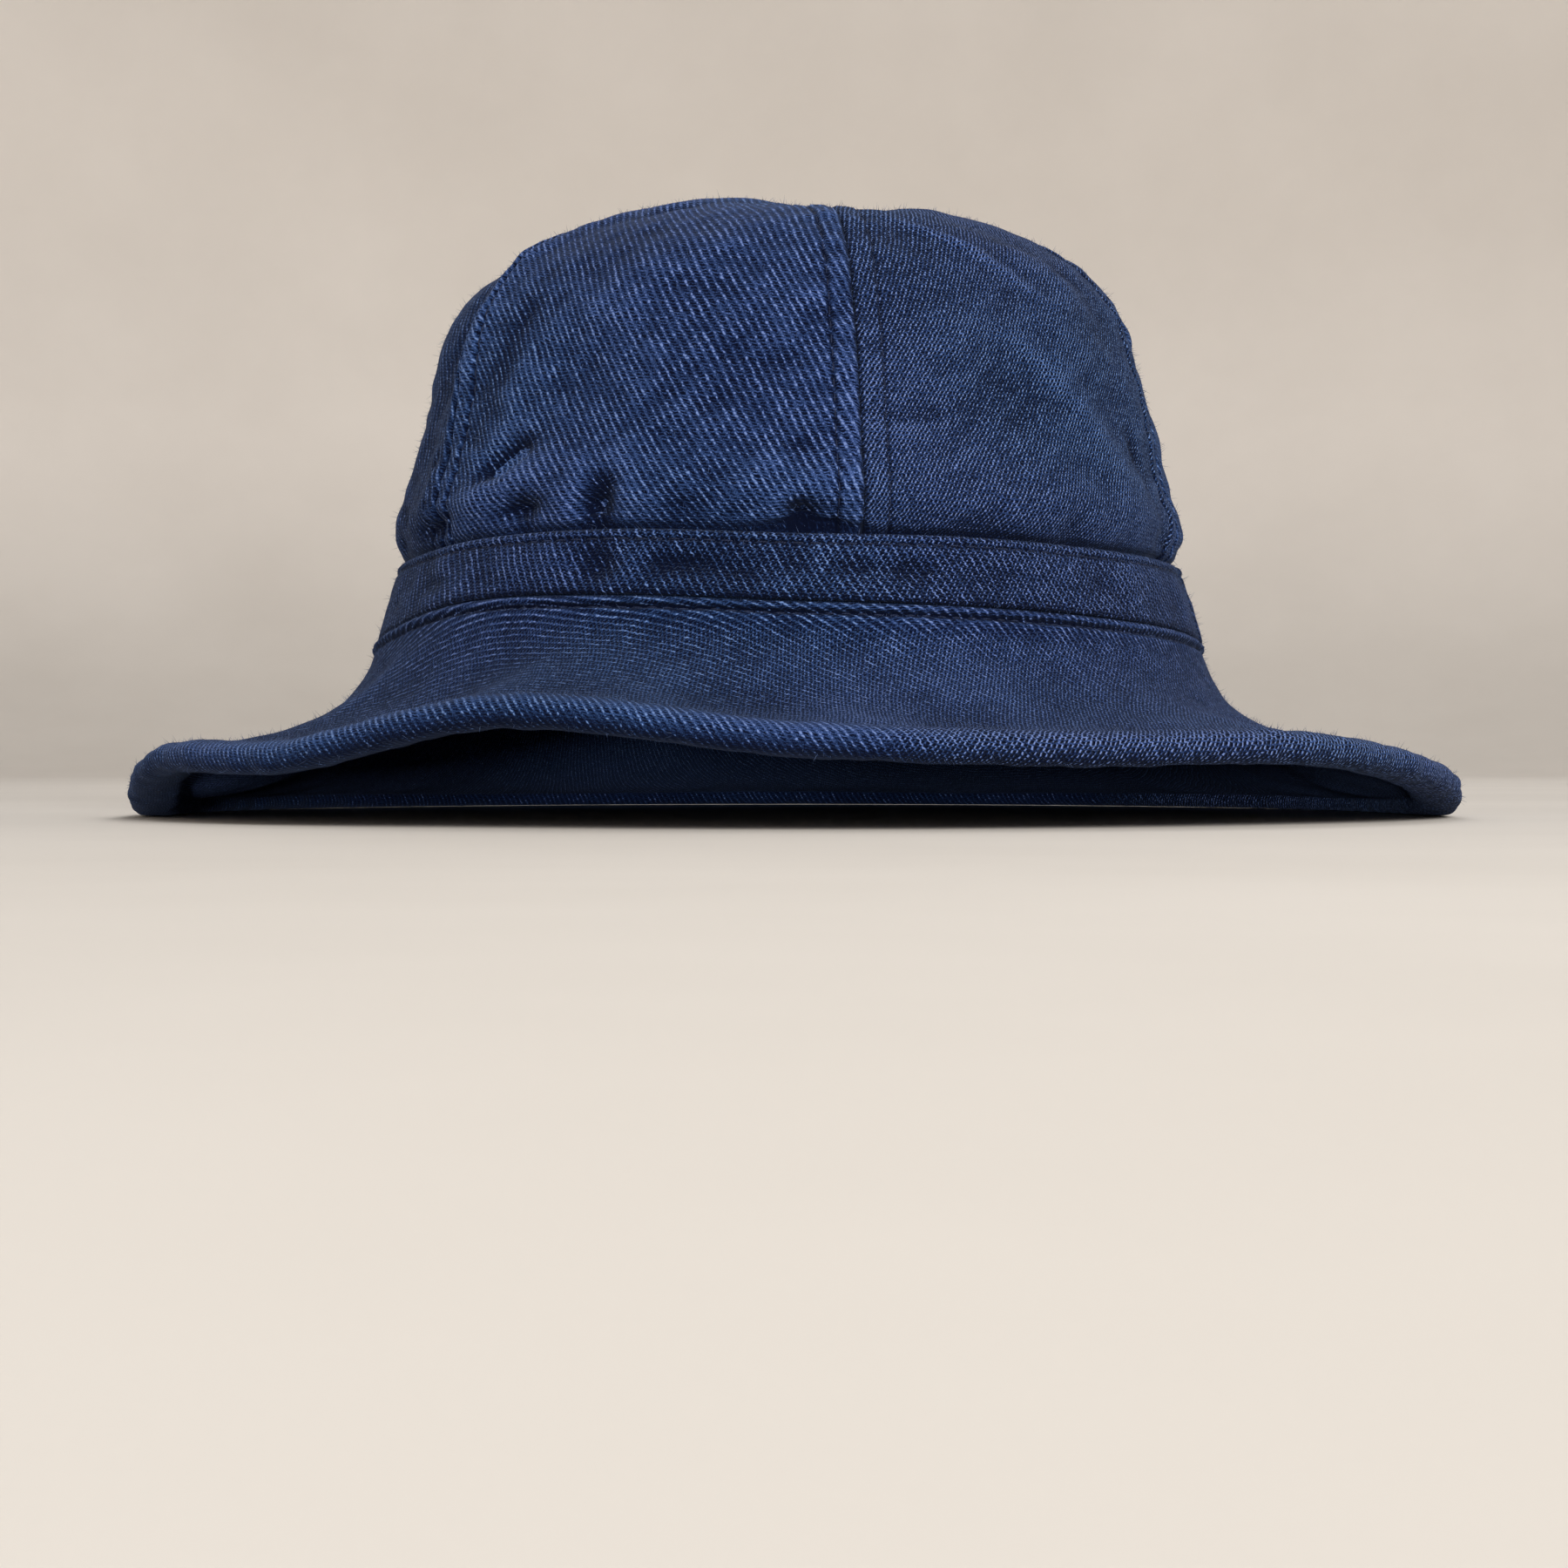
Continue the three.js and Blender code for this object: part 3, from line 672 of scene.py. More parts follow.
def rim_triangles(fine, coarse):
    """Triangles between a loop and another one with half as many points."""
    coarse_next = np.roll(coarse, -1)
    start, middle, end = fine[::2], fine[1::2], np.roll(fine, -1)[1::2]
    return np.concatenate([np.stack([middle, start, coarse], -1),
                           np.stack([end, middle, coarse_next], -1),
                           np.stack([middle, coarse, coarse_next], -1)])


def closed(grid):
    """A grid with its first column again at its end."""
    return np.append(grid, grid[:, :1], 1)


def ring_mesh(name, points, flat, wear_and_shade, ribs, net, strip=None, in_strip=None):
    """A closed ring from a grid of points, [section point, column]; flat has one row and one column
    more than points, because its last ones lie beside its first. Rows of a strip have their own uv."""
    rows, columns = points.shape[:2]
    row, column = grid_corners(rows, columns, wrap_rows=True, wrap_columns=True)
    quads = (row % rows) * columns + column % columns
    corner_uv = flat[row, column]
    if strip is not None:
        corner_uv[in_strip[row[:, 0]]] = strip[row, column][in_strip[row[:, 0]]]
    corner_uv = corner_uv.reshape(-1, 2)
    return cloth_object(name, points.reshape(-1, 3), quads, NO_TRIANGLES, corner_uv, wear_and_shade, ribs, net)


# band

BAND_COLUMNS = 720
BAND_EDGE = 0.9
BAND_FOOT = 2.0              # strips of finer rows along its lower and upper edge
BAND_HEAD = 4.6
BAND_ROWS = (7, 20, 23)      # rows in the lower strip, between them, and in the upper strip
BAND_WINDOW = (6, 8)
# pale wear on what stands up and painted shade in the band's dents and hollows
BAND_RAISED_WEAR_AND_SHADE = 1.6
BAND_HEIGHT_WEAR_AND_SHADE = 0.5
BAND_SLACK = 0.2
BAND_CRINKLE = 0.1
HELD_UNEVEN = 0.3            # part of its unevenness that is left at the sewn edges
NET_SIDE = 27.0              # around this azimuth the band and the brim show less of the ribs
NET_SPREAD = 34.0
BAND_RIBS_RIGHT = 0.7        # strength of the band's ribs and of its net there
BAND_NET_RIGHT = 3.8


def net_side(azimuth):
    return bump(turn_between(NET_SIDE, azimuth), 0, NET_SPREAD)


def back_puckers():
    """Small dents at uneven steps around the sides and back of the band."""
    shifts, ups, lengths, depths = (rng.uniform(*limits, BACK_PUCKERS) for limits in BACK_RANGES)
    azimuths = np.linspace(*BACK_ARC, BACK_PUCKERS) + shifts
    return list(zip(azimuths, ups, lengths, np.full(BACK_PUCKERS, BACK_ACROSS), -depths))


BAND_BACK_DENTS = back_puckers()


def band_face(azimuth, height):
    """Radius of the band's outer face at a distance up from its lower edge: straight between its two
    ovals, with a swell and dents that die out at both edges, a welt and a stitched channel."""
    tall = band_tall(azimuth)
    up = height / tall
    free = np.sin(np.pi * np.clip(up, 0, 1))
    straight = band_radius(azimuth, up)
    swell = np.full_like(up, BAND_SWELL)
    for dent_azimuth, dent_up, along, across, depth in BAND_DENTS + BAND_BACK_DENTS:
        aside = np.radians(turn_between(dent_azimuth, azimuth)) * seam_radius(azimuth)
        swell = swell + depth * bump(aside, 0, along) * bump(up, dent_up, across)
    join = np.radians(turn_between(BAND_JOIN, azimuth)) * seam_radius(azimuth)
    sewn = humps(tall - height, BAND_PROFILE) + plateau(join, *JOIN_OVERLAP) + humps(join, JOIN_PROFILE)
    base = polar(straight, azimuth, seam_height(azimuth) + height)
    uneven = BAND_SLACK * unevenness(base, SLACK_WAVES) + BAND_CRINKLE * unevenness(base, CRINKLE_WAVES)
    return straight + swell * free + (sewn + uneven * lerp(HELD_UNEVEN, 1, free))


def band_mesh(name):
    """A ring whose section is a flat loop with round edges, the outer face finer than the inner."""
    azimuth = np.linspace(BAND_JOIN, BAND_JOIN + 360, BAND_COLUMNS, endpoint=False)[None]
    tall = band_tall(azimuth)
    foot_rows, middle_rows, head_rows = BAND_ROWS
    low = np.linspace(0, BAND_FOOT, foot_rows, endpoint=False)[:, None]
    middle = np.linspace(0, 1, middle_rows, endpoint=False)[:, None]
    high = np.linspace(BAND_HEAD, 0, head_rows)[:, None]
    height = np.concatenate([low + 0 * tall, lerp(BAND_FOOT, tall - BAND_HEAD, middle), tall - high])
    radius = band_face(azimuth, height)
    past_edge = np.maximum(BAND_EDGE - np.minimum(height, tall - height), 0)
    rounding = BAND_EDGE - np.sqrt(np.maximum(BAND_EDGE ** 2 - past_edge ** 2, 0))
    outer = polar(radius - rounding, azimuth, seam_height(azimuth) + height)
    inside = height[::-3][1:-1]
    inner = polar(band_face(azimuth, inside) - BAND_WALL, azimuth, seam_height(azimuth) + inside)

    turned = closed(np.concatenate([height, 2 * tall - inside, 2 * tall]))
    wide = np.append(azimuth, [[BAND_JOIN + 360]], 1)
    flat = np.stack([np.radians(wide) * SEAM_HALF_WIDTH + 0 * turned, turned], -1)
    above = radius - band_radius(azimuth, height / tall)
    # pale wear on what stands up and painted shade in the dents and hollows
    worn = BAND_RAISED_WEAR_AND_SHADE * raised(above, *BAND_WINDOW, "wrap") + BAND_HEIGHT_WEAR_AND_SHADE * above
    # painted shadow at the band's foot, and painted shade and a painted highlight at its top
    edge_shade_and_highlight = humps(height, BAND_FOOT_SHADOW) + humps(tall - height, BAND_TOP_SHADE_AND_HIGHLIGHT)
    worn = np.clip(worn, *WEAR_AND_SHADE_RANGE) + edge_shade_and_highlight
    wear_and_shade = np.concatenate([worn, np.full(inside.shape, INSIDE_PALE_AND_PAINTED_LIGHT)])
    shows_net = net_side(azimuth) + np.zeros(wear_and_shade.shape)
    ribs = lerp(1, BAND_RIBS_RIGHT, shows_net)
    net = lerp(1, BAND_NET_RIGHT, shows_net)
    return ring_mesh(name, np.concatenate([outer, inner]), flat, wear_and_shade, ribs, net)


# brim

BRIM_COLUMNS = 720
BRIM_CLOSE = 0.16            # part of the way out that has finer rows
BRIM_ROWS = (20, 42)         # rows there and beyond
UNDER_ROWS = slice(4, None, 2)       # those of them that the underside has too
BRIM_DROP = 0.4              # from the band's lower edge down to the start of the flare
COLLAR_INSETS = np.array([[1.9], [0.45]])    # of its top and foot from the band's inner face
COLLAR_HEIGHTS = np.array([[COLLAR], [-BRIM_DROP]])
COLLAR_WALL = np.array([[[BRIM_WALL], [BRIM_WALL]], [[1.0], [0.0]]])
BRIM_SLACK = 0.35
BRIM_CRINKLE = 0.07
SLACK_FROM_BAND = (2.0, 14.0)        # the slack starts over these distances
SLACK_FROM_HEM = (0.0, 9.0)
UNDER_RELIEF = 0.6           # part of the relief that the underside shows too
UNDER_RELIEF_FROM = (2.0, 8.0)
UNDER_FINISH = np.array([INSIDE_PALE_AND_PAINTED_LIGHT, 0.5, 0.5])     # paleness with painted light, ribs and net of the underside
BRIM_WINDOW = (4, 8)
# pale wear on what stands up and painted shade in hollows, to a millimetre of height
BRIM_HEIGHT_WEAR_AND_SHADE = 0.2
BRIM_WEAR_AND_SHADE_RANGE = (-1.2, 0.8)
FLARE_FROM_BAND = (2.0, 8.0)         # the flare's own grain starts over these distances
FLARE_FROM_HEM = (0.0, 5.0)
FLARE_RIBS = 0.62            # strength of the ribs and of the net on the flare
FLARE_NET = 0.5
FLARE_RIBS_RIGHT = 0.30      # and around the azimuth where it shows less of the ribs
FLARE_NET_RIGHT = 1.0
BRIM_TURN = -29.0            # turn of the brim's cloth around the axis


def bezier(start, end, handles, t):
    """A cubic curve whose two handles are given as parts of the way, and its slope."""
    near, far = (lerp(start, end, handle) for handle in handles)
    s = 1 - t
    point = s ** 3 * start + 3 * s * s * t * near + 3 * s * t * t * far + t ** 3 * end
    slope = 3 * (s * s * (near - start) + 2 * s * t * (far - near) + t * t * (end - far))
    return point, slope


def brim_flare(azimuth, part):
    """Top face of the brim without its relief: a cubic curve from under the band to the hem, as
    radius, height and upward normal, for parts 0 to 1 of its way out."""
    droop = np.radians(HEM_DROOP)
    back = HEM_WIDTH / 2 + HEM_SETBACK
    lift = HEM_DEPTH / 2 - HEM_CREST
    middle_r, middle_z = hem_middle(azimuth)
    end_r = middle_r - back * np.cos(droop) + lift * np.sin(droop)
    end_z = middle_z + back * np.sin(droop) + lift * np.cos(droop)
    radius, along_r = bezier(seam_radius(azimuth) + LIP, end_r, FLARE_OUT, part)
    height, along_z = bezier(seam_height(azimuth) - BRIM_DROP, end_z, FLARE_DOWN, part)
    length = np.hypot(along_r, along_z)
    return radius, height, -along_z / length, along_r / length


def way_along(radius, height):
    """Length along the section from its first row."""
    steps = np.hypot(np.diff(radius, axis=0), np.diff(height, axis=0))
    return np.concatenate([np.zeros_like(steps[:1]), np.cumsum(steps, 0)])


def brim_relief(way, whole, base):
    """Welt under the band, its stitched channel, a shallow valley before the hem, and slack."""
    free = smoothstep(way, *SLACK_FROM_BAND) * smoothstep(whole - way, *SLACK_FROM_HEM)
    slack = BRIM_SLACK * unevenness(base, SLACK_WAVES) * free
    sewn = humps(way, WELT_PROFILE) + humps(whole - way, HEM_PROFILE)
    return sewn + slack + BRIM_CRINKLE * unevenness(base, CRINKLE_WAVES)


def flare_finish(azimuth, way, relief):
    """Wear with painted shade in hollows and at the welt, a painted sheen before the hem, and the
    strengths of ribs and net on the top face of the flare.
    """
    from_hem = way[-1:] - way
    wear_and_shade = RAISED_WEAR_AND_SHADE * raised(relief, *BRIM_WINDOW, "wrap") + BRIM_HEIGHT_WEAR_AND_SHADE * relief
    wear_and_shade = np.clip(wear_and_shade, *BRIM_WEAR_AND_SHADE_RANGE) + humps(from_hem, HEM_BED_SHEEN) + humps(way, WELT_SHADE)
    flared = smoothstep(way, *FLARE_FROM_BAND) * smoothstep(from_hem, *FLARE_FROM_HEM)
    right = net_side(azimuth)
    ribs = lerp(1, lerp(FLARE_RIBS, FLARE_RIBS_RIGHT, right), flared)
    return np.stack([wear_and_shade, ribs, lerp(FLARE_NET, FLARE_NET_RIGHT, right) * flared])


def brim_mesh(name):
    """A ring with the brim's section: collar inside the band, welt, flare, rolled hem, underside.
    Each stretch of it is an array [radius or height, row, column]."""
    azimuth = np.linspace(-180, 180, BRIM_COLUMNS, endpoint=False)[None]
    close_rows, open_rows = BRIM_ROWS
    close = np.linspace(0, BRIM_CLOSE, close_rows, endpoint=False)
    part = np.append(close, np.linspace(BRIM_CLOSE, 1, open_rows))[:, None]
    flare_r, flare_z, normal_r, normal_z = brim_flare(azimuth, part)
    way = way_along(flare_r, flare_z)
    relief = brim_relief(way, way[-1:], polar(flare_r, azimuth, flare_z))
    top = np.stack([flare_r + normal_r * relief, flare_z + normal_z * relief])
    depth = BRIM_WALL - UNDER_RELIEF * relief * smoothstep(way, *UNDER_RELIEF_FROM)
    under = np.stack([flare_r - normal_r * depth, flare_z - normal_z * depth])[:, UNDER_ROWS]
    leaning = band_radius(azimuth, np.array([[COLLAR], [0]]) / band_tall(azimuth))
    collar = np.stack([leaning - BAND_WALL - COLLAR_INSETS, seam_height(azimuth) + COLLAR_HEIGHTS])
    inside = collar[:, ::-1] - COLLAR_WALL
    section = np.concatenate([collar, top, hem_round(azimuth), under[:, ::-1], inside], 1)[:, ::-1]
    radius = section[0]
    height = np.maximum(section[1], 0)

    length = way_along(radius, height)
    spread = SEAM_HALF_WIDTH + (length[-1 - collar.shape[1]] - length)
    spread = closed(np.concatenate([spread, spread[-1:]]))
    wide = np.append(azimuth, [[180]], 1)
    flat = polar(spread, wide + BRIM_TURN, 0)[..., :2]
    past_flare = spread - SEAM_HALF_WIDTH - closed(way[-1:])
    girth = lerp(HEM_GIRTH, HEM_NET_GIRTH, hem_net(wide))
    slant = lerp(HEM_SLANT, HEM_NET_SLANT, hem_net(wide))
    cloth_around = np.cumsum(girth, 1) * np.radians(360 / BRIM_COLUMNS)
    strip = np.stack([cloth_around + 0 * past_flare, -slant * past_flare], -1)
    in_hem = np.zeros(len(radius), bool)
    in_hem[inside.shape[1] + under.shape[1]:][:HEM_STEPS] = True

    none = np.zeros((3, *collar.shape[1:]))
    below = UNDER_FINISH[:, None, None] * np.ones(under.shape[1:])
    stretches = [none, flare_finish(azimuth, way, relief), hem_finish(azimuth), below, none]
    wear_and_shade, ribs, net = np.concatenate(stretches, 1)[:, ::-1]
    return ring_mesh(name, polar(radius, azimuth, height), flat, wear_and_shade, ribs, net, strip, in_hem)


# hem; angles on its section run from 90 on top to -90 below

HEM_STEPS = 40
HEM_LUMPS = 0.03
HEM_GIRTH = 170.0            # millimetres of the hem's cloth to a radian around the rim
HEM_SLANT = 1.2              # its cloth along the section, as a part; smaller makes its ribs steeper
HEM_NET_GIRTH = 128.0        # the same where the net shows
HEM_NET_SLANT = 0.85
HEM_NET_SIDE = 75.0          # azimuth in the middle of where the net shows
HEM_NET_EDGE = (0.3, 0.55)   # cosines of the turn from there over which it starts
HEM_HIGHLIGHT_ANGLES = (52.0, 42.0)       # middle and half width of the painted highlight on the upper side
HEM_SHADE_ANGLES = (-18.0, 36.0)      # painted shade grows between these angles below the middle
HEM_UNDER_ANGLES = (75.0, 120.0)     # and the painted shade grows lighter again between these
# part of the painted shade that is taken off far under the hem
HEM_UNDER_LESS_SHADE = 0.75
HEM_HIGHLIGHT = (1.0, 0.8)        # painted highlight of the upper side and painted shade of the lower side, without and with the net
HEM_SHADE = (1.3, 1.7)
HEM_RIBS = (1.0, 0.4)
HEM_NET = 2.4
HEM_LOW_RIBS = 0.5           # part of the ribs that is left on the lower side
HEM_RIB_ANGLES = (-20.0, 30.0)


def hem_angles():
    return np.linspace(HEM_START, HEM_END, HEM_STEPS)[:, None]


def hem_net(azimuth):
    """Where the hem is cut so that the net shows more than the ribs."""
    return smoothstep(np.cos(np.radians(azimuth - HEM_NET_SIDE)), *HEM_NET_EDGE)


def hem_finish(azimuth):
    """Painted light and shade, and the strengths of ribs and net: a painted highlight on the upper
    side, and painted shade below.
    """
    angle = hem_angles()
    net = hem_net(azimuth)
    under = 1 - HEM_UNDER_LESS_SHADE * smoothstep(-angle, *HEM_UNDER_ANGLES)
    dark = smoothstep(-angle, *HEM_SHADE_ANGLES) * under
    wear_and_shade = lerp(*HEM_HIGHLIGHT, net) * bump(angle, *HEM_HIGHLIGHT_ANGLES) - lerp(*HEM_SHADE, net) * dark
    ribs = lerp(*HEM_RIBS, net) * lerp(HEM_LOW_RIBS, 1, smoothstep(angle, *HEM_RIB_ANGLES))
    return np.stack([wear_and_shade, ribs, HEM_NET * net + 0 * wear_and_shade])


def hem_round(azimuth):
    """The rolled hem: a superellipse tilted down by its droop, with soft lumps."""
    angle = np.radians(hem_angles())
    roundness = 2 / HEM_SQUARENESS
    out = np.sign(np.cos(angle)) * np.abs(np.cos(angle)) ** roundness * HEM_WIDTH / 2
    up = np.sign(np.sin(angle)) * np.abs(np.sin(angle)) ** roundness * HEM_DEPTH / 2
    droop = np.radians(HEM_DROOP)
    middle_r, middle_z = hem_middle(azimuth)
    swell = 1 + HEM_LUMPS * unevenness(polar(middle_r + out, azimuth, middle_z + up), HEM_WAVES)
    return np.stack([middle_r + (out * np.cos(droop) + up * np.sin(droop)) * swell,
                     middle_z + (up * np.cos(droop) - out * np.sin(droop)) * swell])


# stitches

STITCH_SIDES = 6
STITCH_RINGS = 5
THREAD_LIFTS = (-0.7, 0.8)   # of a stitch's ends and middle, in thread radii
THREAD_ENDS = 0.45           # radius at its ends, as a part
THREAD_SIDE = 0.2            # uv width of one side of a thread
CROWN_STITCH_START = 9.0     # rise at which the crown's rows start
CROWN_STITCH_STOP = 12.5     # distance from the top at which they end
BAND_LEAN = 0.3              # of the band's normal, upwards
HEM_STITCH_SETBACK = 0.6
FLARE_STEPS = 200            # among which the place of a stitch on the brim is sought


def stitch_mesh(name, rows):
    """Short thread tubes from rows of (points, normals) arrays, [stitch, ring, 3]: each tube arches
    out of the cloth by its radius and dips back in at both ends."""
    points = np.concatenate([row[0] for row in rows])
    normals = unit(np.concatenate([row[1] for row in rows]))
    count = len(points)
    forward = unit(np.gradient(points, axis=1))
    sideways = unit(np.cross(forward, normals))
    outward = np.cross(sideways, forward)
    arch = np.sin(np.pi * np.linspace(0, 1, STITCH_RINGS))
    lift = THREAD_RADIUS * lerp(*THREAD_LIFTS, arch)
    thick = THREAD_RADIUS * lerp(THREAD_ENDS, 1, arch)
    middle = points + outward * lift[:, None]
    angle = np.linspace(0, 2 * np.pi, STITCH_SIDES, endpoint=False)[:, None]
    around_thread = np.cos(angle) * outward[:, :, None] + np.sin(angle) * sideways[:, :, None]
    skin = (middle[:, :, None] + around_thread * thick[:, None, None]).reshape(-1, 3)
    ring, side = grid_corners(STITCH_RINGS, STITCH_SIDES, wrap_columns=True)
    quads = ring * STITCH_SIDES + side % STITCH_SIDES
    first = np.arange(STITCH_SIDES)[::-1]
    last = (STITCH_RINGS - 1) * STITCH_SIDES + np.arange(STITCH_SIDES)
    caps = [(end[0], end[k], end[k + 1]) for end in (first, last) for k in range(1, STITCH_SIDES - 1)]
    shift = np.arange(count)[:, None, None] * STITCH_RINGS * STITCH_SIDES
    all_quads = (quads + shift).reshape(-1, 4)
    all_caps = (np.array(caps) + shift).reshape(-1, 3)
    side_uv = np.stack([side, ring], -1) * [THREAD_SIDE, STITCH_LENGTH / STITCH_RINGS]
    tube_uv = np.tile(side_uv.reshape(-1, 2), (count, 1))
    corner_uv = np.concatenate([tube_uv, np.zeros((all_caps.size, 2))])
    return cloth_object(name, skin, all_quads, all_caps, corner_uv, 0.0)


def stitch_places(length):
    """Places of every stitch's rings along a row of a given length, [stitch, ring]."""
    count = int(length / STITCH_PITCH)
    starts = (np.arange(count) + 0.5) * length / count - STITCH_LENGTH / 2
    return starts[:, None] + np.linspace(0, STITCH_LENGTH, STITCH_RINGS)


def crown_stitch_rows():
    """Two rows along every crown seam, from above the band to where the panels grow narrow."""
    rows = []
    length = RISES[-1] - CROWN_STITCH_STOP - CROWN_STITCH_START
    place = place_of(CROWN_STITCH_START + stitch_places(length))
    for seam in SEAMS:
        for side in (-1, 1):
            radius = crown_radius(np.full_like(place, seam), place)
            azimuth = seam + side * np.degrees(STITCH_SETBACK / radius)
            rows.append(crown_surface(azimuth, place)[:2])
    return rows


def ring_azimuths(radius):
    """Azimuths of the stitches' rings once around at a mean radius."""
    length = 2 * np.pi * radius
    return 360 * stitch_places(length) / length


def band_stitch_rows():
    azimuth = ring_azimuths(BAND_TOP_HALF_WIDTH)
    height = band_tall(azimuth) - BAND_STITCH_DROP
    points = polar(band_face(azimuth, height), azimuth, seam_height(azimuth) + height)
    return [(points, polar(1.0, azimuth, BAND_LEAN))]


def brim_stitch_row(radius, way_in, from_hem):
    """A row of stitches on the brim at a distance from the welt's start, or from the hem."""
    azimuth = ring_azimuths(radius)
    flare = brim_flare(azimuth, np.linspace(0, 1, FLARE_STEPS)[:, None, None])
    way = way_along(*flare[:2])
    goal = way[-1] - way_in if from_hem else np.full(azimuth.shape, way_in)
    step = np.argmax(way >= goal, axis=0)[None]
    point_r, point_z, out_r, out_z = (np.take_along_axis(grid, step, 0)[0] for grid in flare)
    relief = brim_relief(goal, way[-1], polar(point_r, azimuth, point_z))
    points = polar(point_r + out_r * relief, azimuth, point_z + out_z * relief)
    return points, polar(out_r, azimuth, out_z)


def brim_stitch_rows():
    hem_radius = rim_reach(np.array(90.0)) - HEM_WIDTH
    return [brim_stitch_row(SEAM_HALF_DEPTH, WELT_WIDTH, False),
            brim_stitch_row(hem_radius, HEM_STITCH_SETBACK, True)]


# fuzz

FUZZ_RADIUS = 0.045
FUZZ_TO_SQUARE = 0.38        # hairs to a square millimetre of cloth
FUZZ_HEART = np.array([0.0, 0.0, -60.0])     # faces turned away from here are on the outside
FUZZ_LOWEST = 3.0
FUZZ_SHORTEST = 0.45
FUZZ_LONGER = 1.8            # by which the longest hairs are longer
FUZZ_RARITY = 4              # power that makes them rare
FUZZ_LEAN = 0.6
FUZZ_SCATTER = 0.25          # from the middle of a face
FUZZ_DEPTH = 0.05            # of a root in the cloth
HAIR_SIDES = 3
HAIR_TRIANGLES = np.array([(0, 1, 3), (1, 2, 3), (2, 0, 3), (0, 2, 1)])
HAIR_UV = np.array([(0.1, 0.1), (0.45, 0.02), (0.8, 0.1), (0.45, 0.9)])


def outer_faces(piece):
    """Middles, normals and areas of a piece's faces on the outside of the cap, in millimetres."""
    faces = piece.data.polygons
    middle, normal = np.empty((2, len(faces), 3), np.float32)
    area = np.empty(len(faces), np.float32)
    for key, values in (("center", middle), ("normal", normal), ("area", area)):
        faces.foreach_get(key, values.reshape(-1))
    middle = middle / MM - AXIS
    outside = ((middle - FUZZ_HEART) * normal).sum(-1) > 0
    outside &= middle[:, 2] > FUZZ_LOWEST
    return middle[outside], normal[outside], area[outside] / MM ** 2


def fuzz_mesh(name, pieces):
    """Loose fibres on some pieces: three-sided hairs that taper to a point and lean at random."""
    middle, normal, area = (np.concatenate(parts) for parts in zip(*map(outer_faces, pieces)))
    count = int(area.sum() * FUZZ_TO_SQUARE)
    face = rng.choice(len(area), count, p=area / area.sum(dtype=float))
    normal = normal[face]
    lean = unit(normal + FUZZ_LEAN * rng.normal(size=(count, 3)))
    curl = unit(rng.normal(size=(count, 3)))
    length = (FUZZ_SHORTEST + FUZZ_LONGER * rng.random(count) ** FUZZ_RARITY)[:, None]
    scatter = FUZZ_SCATTER * rng.normal(size=(count, 3)) * (1 - np.abs(normal))
    root = middle[face] + scatter - FUZZ_DEPTH * normal
    tip = root + length * lean
    first = unit(np.cross(lean, curl))
    second = np.cross(lean, first)
    angle = 2 * np.pi * np.arange(HAIR_SIDES)[:, None] / HAIR_SIDES
    ring = np.cos(angle) * first[:, None] + np.sin(angle) * second[:, None]
    points = np.concatenate([root[:, None] + FUZZ_RADIUS * ring, tip[:, None]], 1)
    triangles = (HAIR_TRIANGLES + len(HAIR_UV) * np.arange(count)[:, None, None]).reshape(-1, 3)
    cells = int(np.ceil(np.sqrt(count)))
    corner = np.stack(np.divmod(np.arange(count), cells), -1)[:, None]
    corner_uv = ((corner + HAIR_UV) / cells).reshape(-1, 2)[triangles].reshape(-1, 2)
    pale = np.repeat(rng.random(count), len(HAIR_UV))
    hairs = points.reshape(-1, 3)
    return cloth_object(name, hairs, NO_QUADS, triangles, corner_uv, pale, layer="OFBake")


# finishes


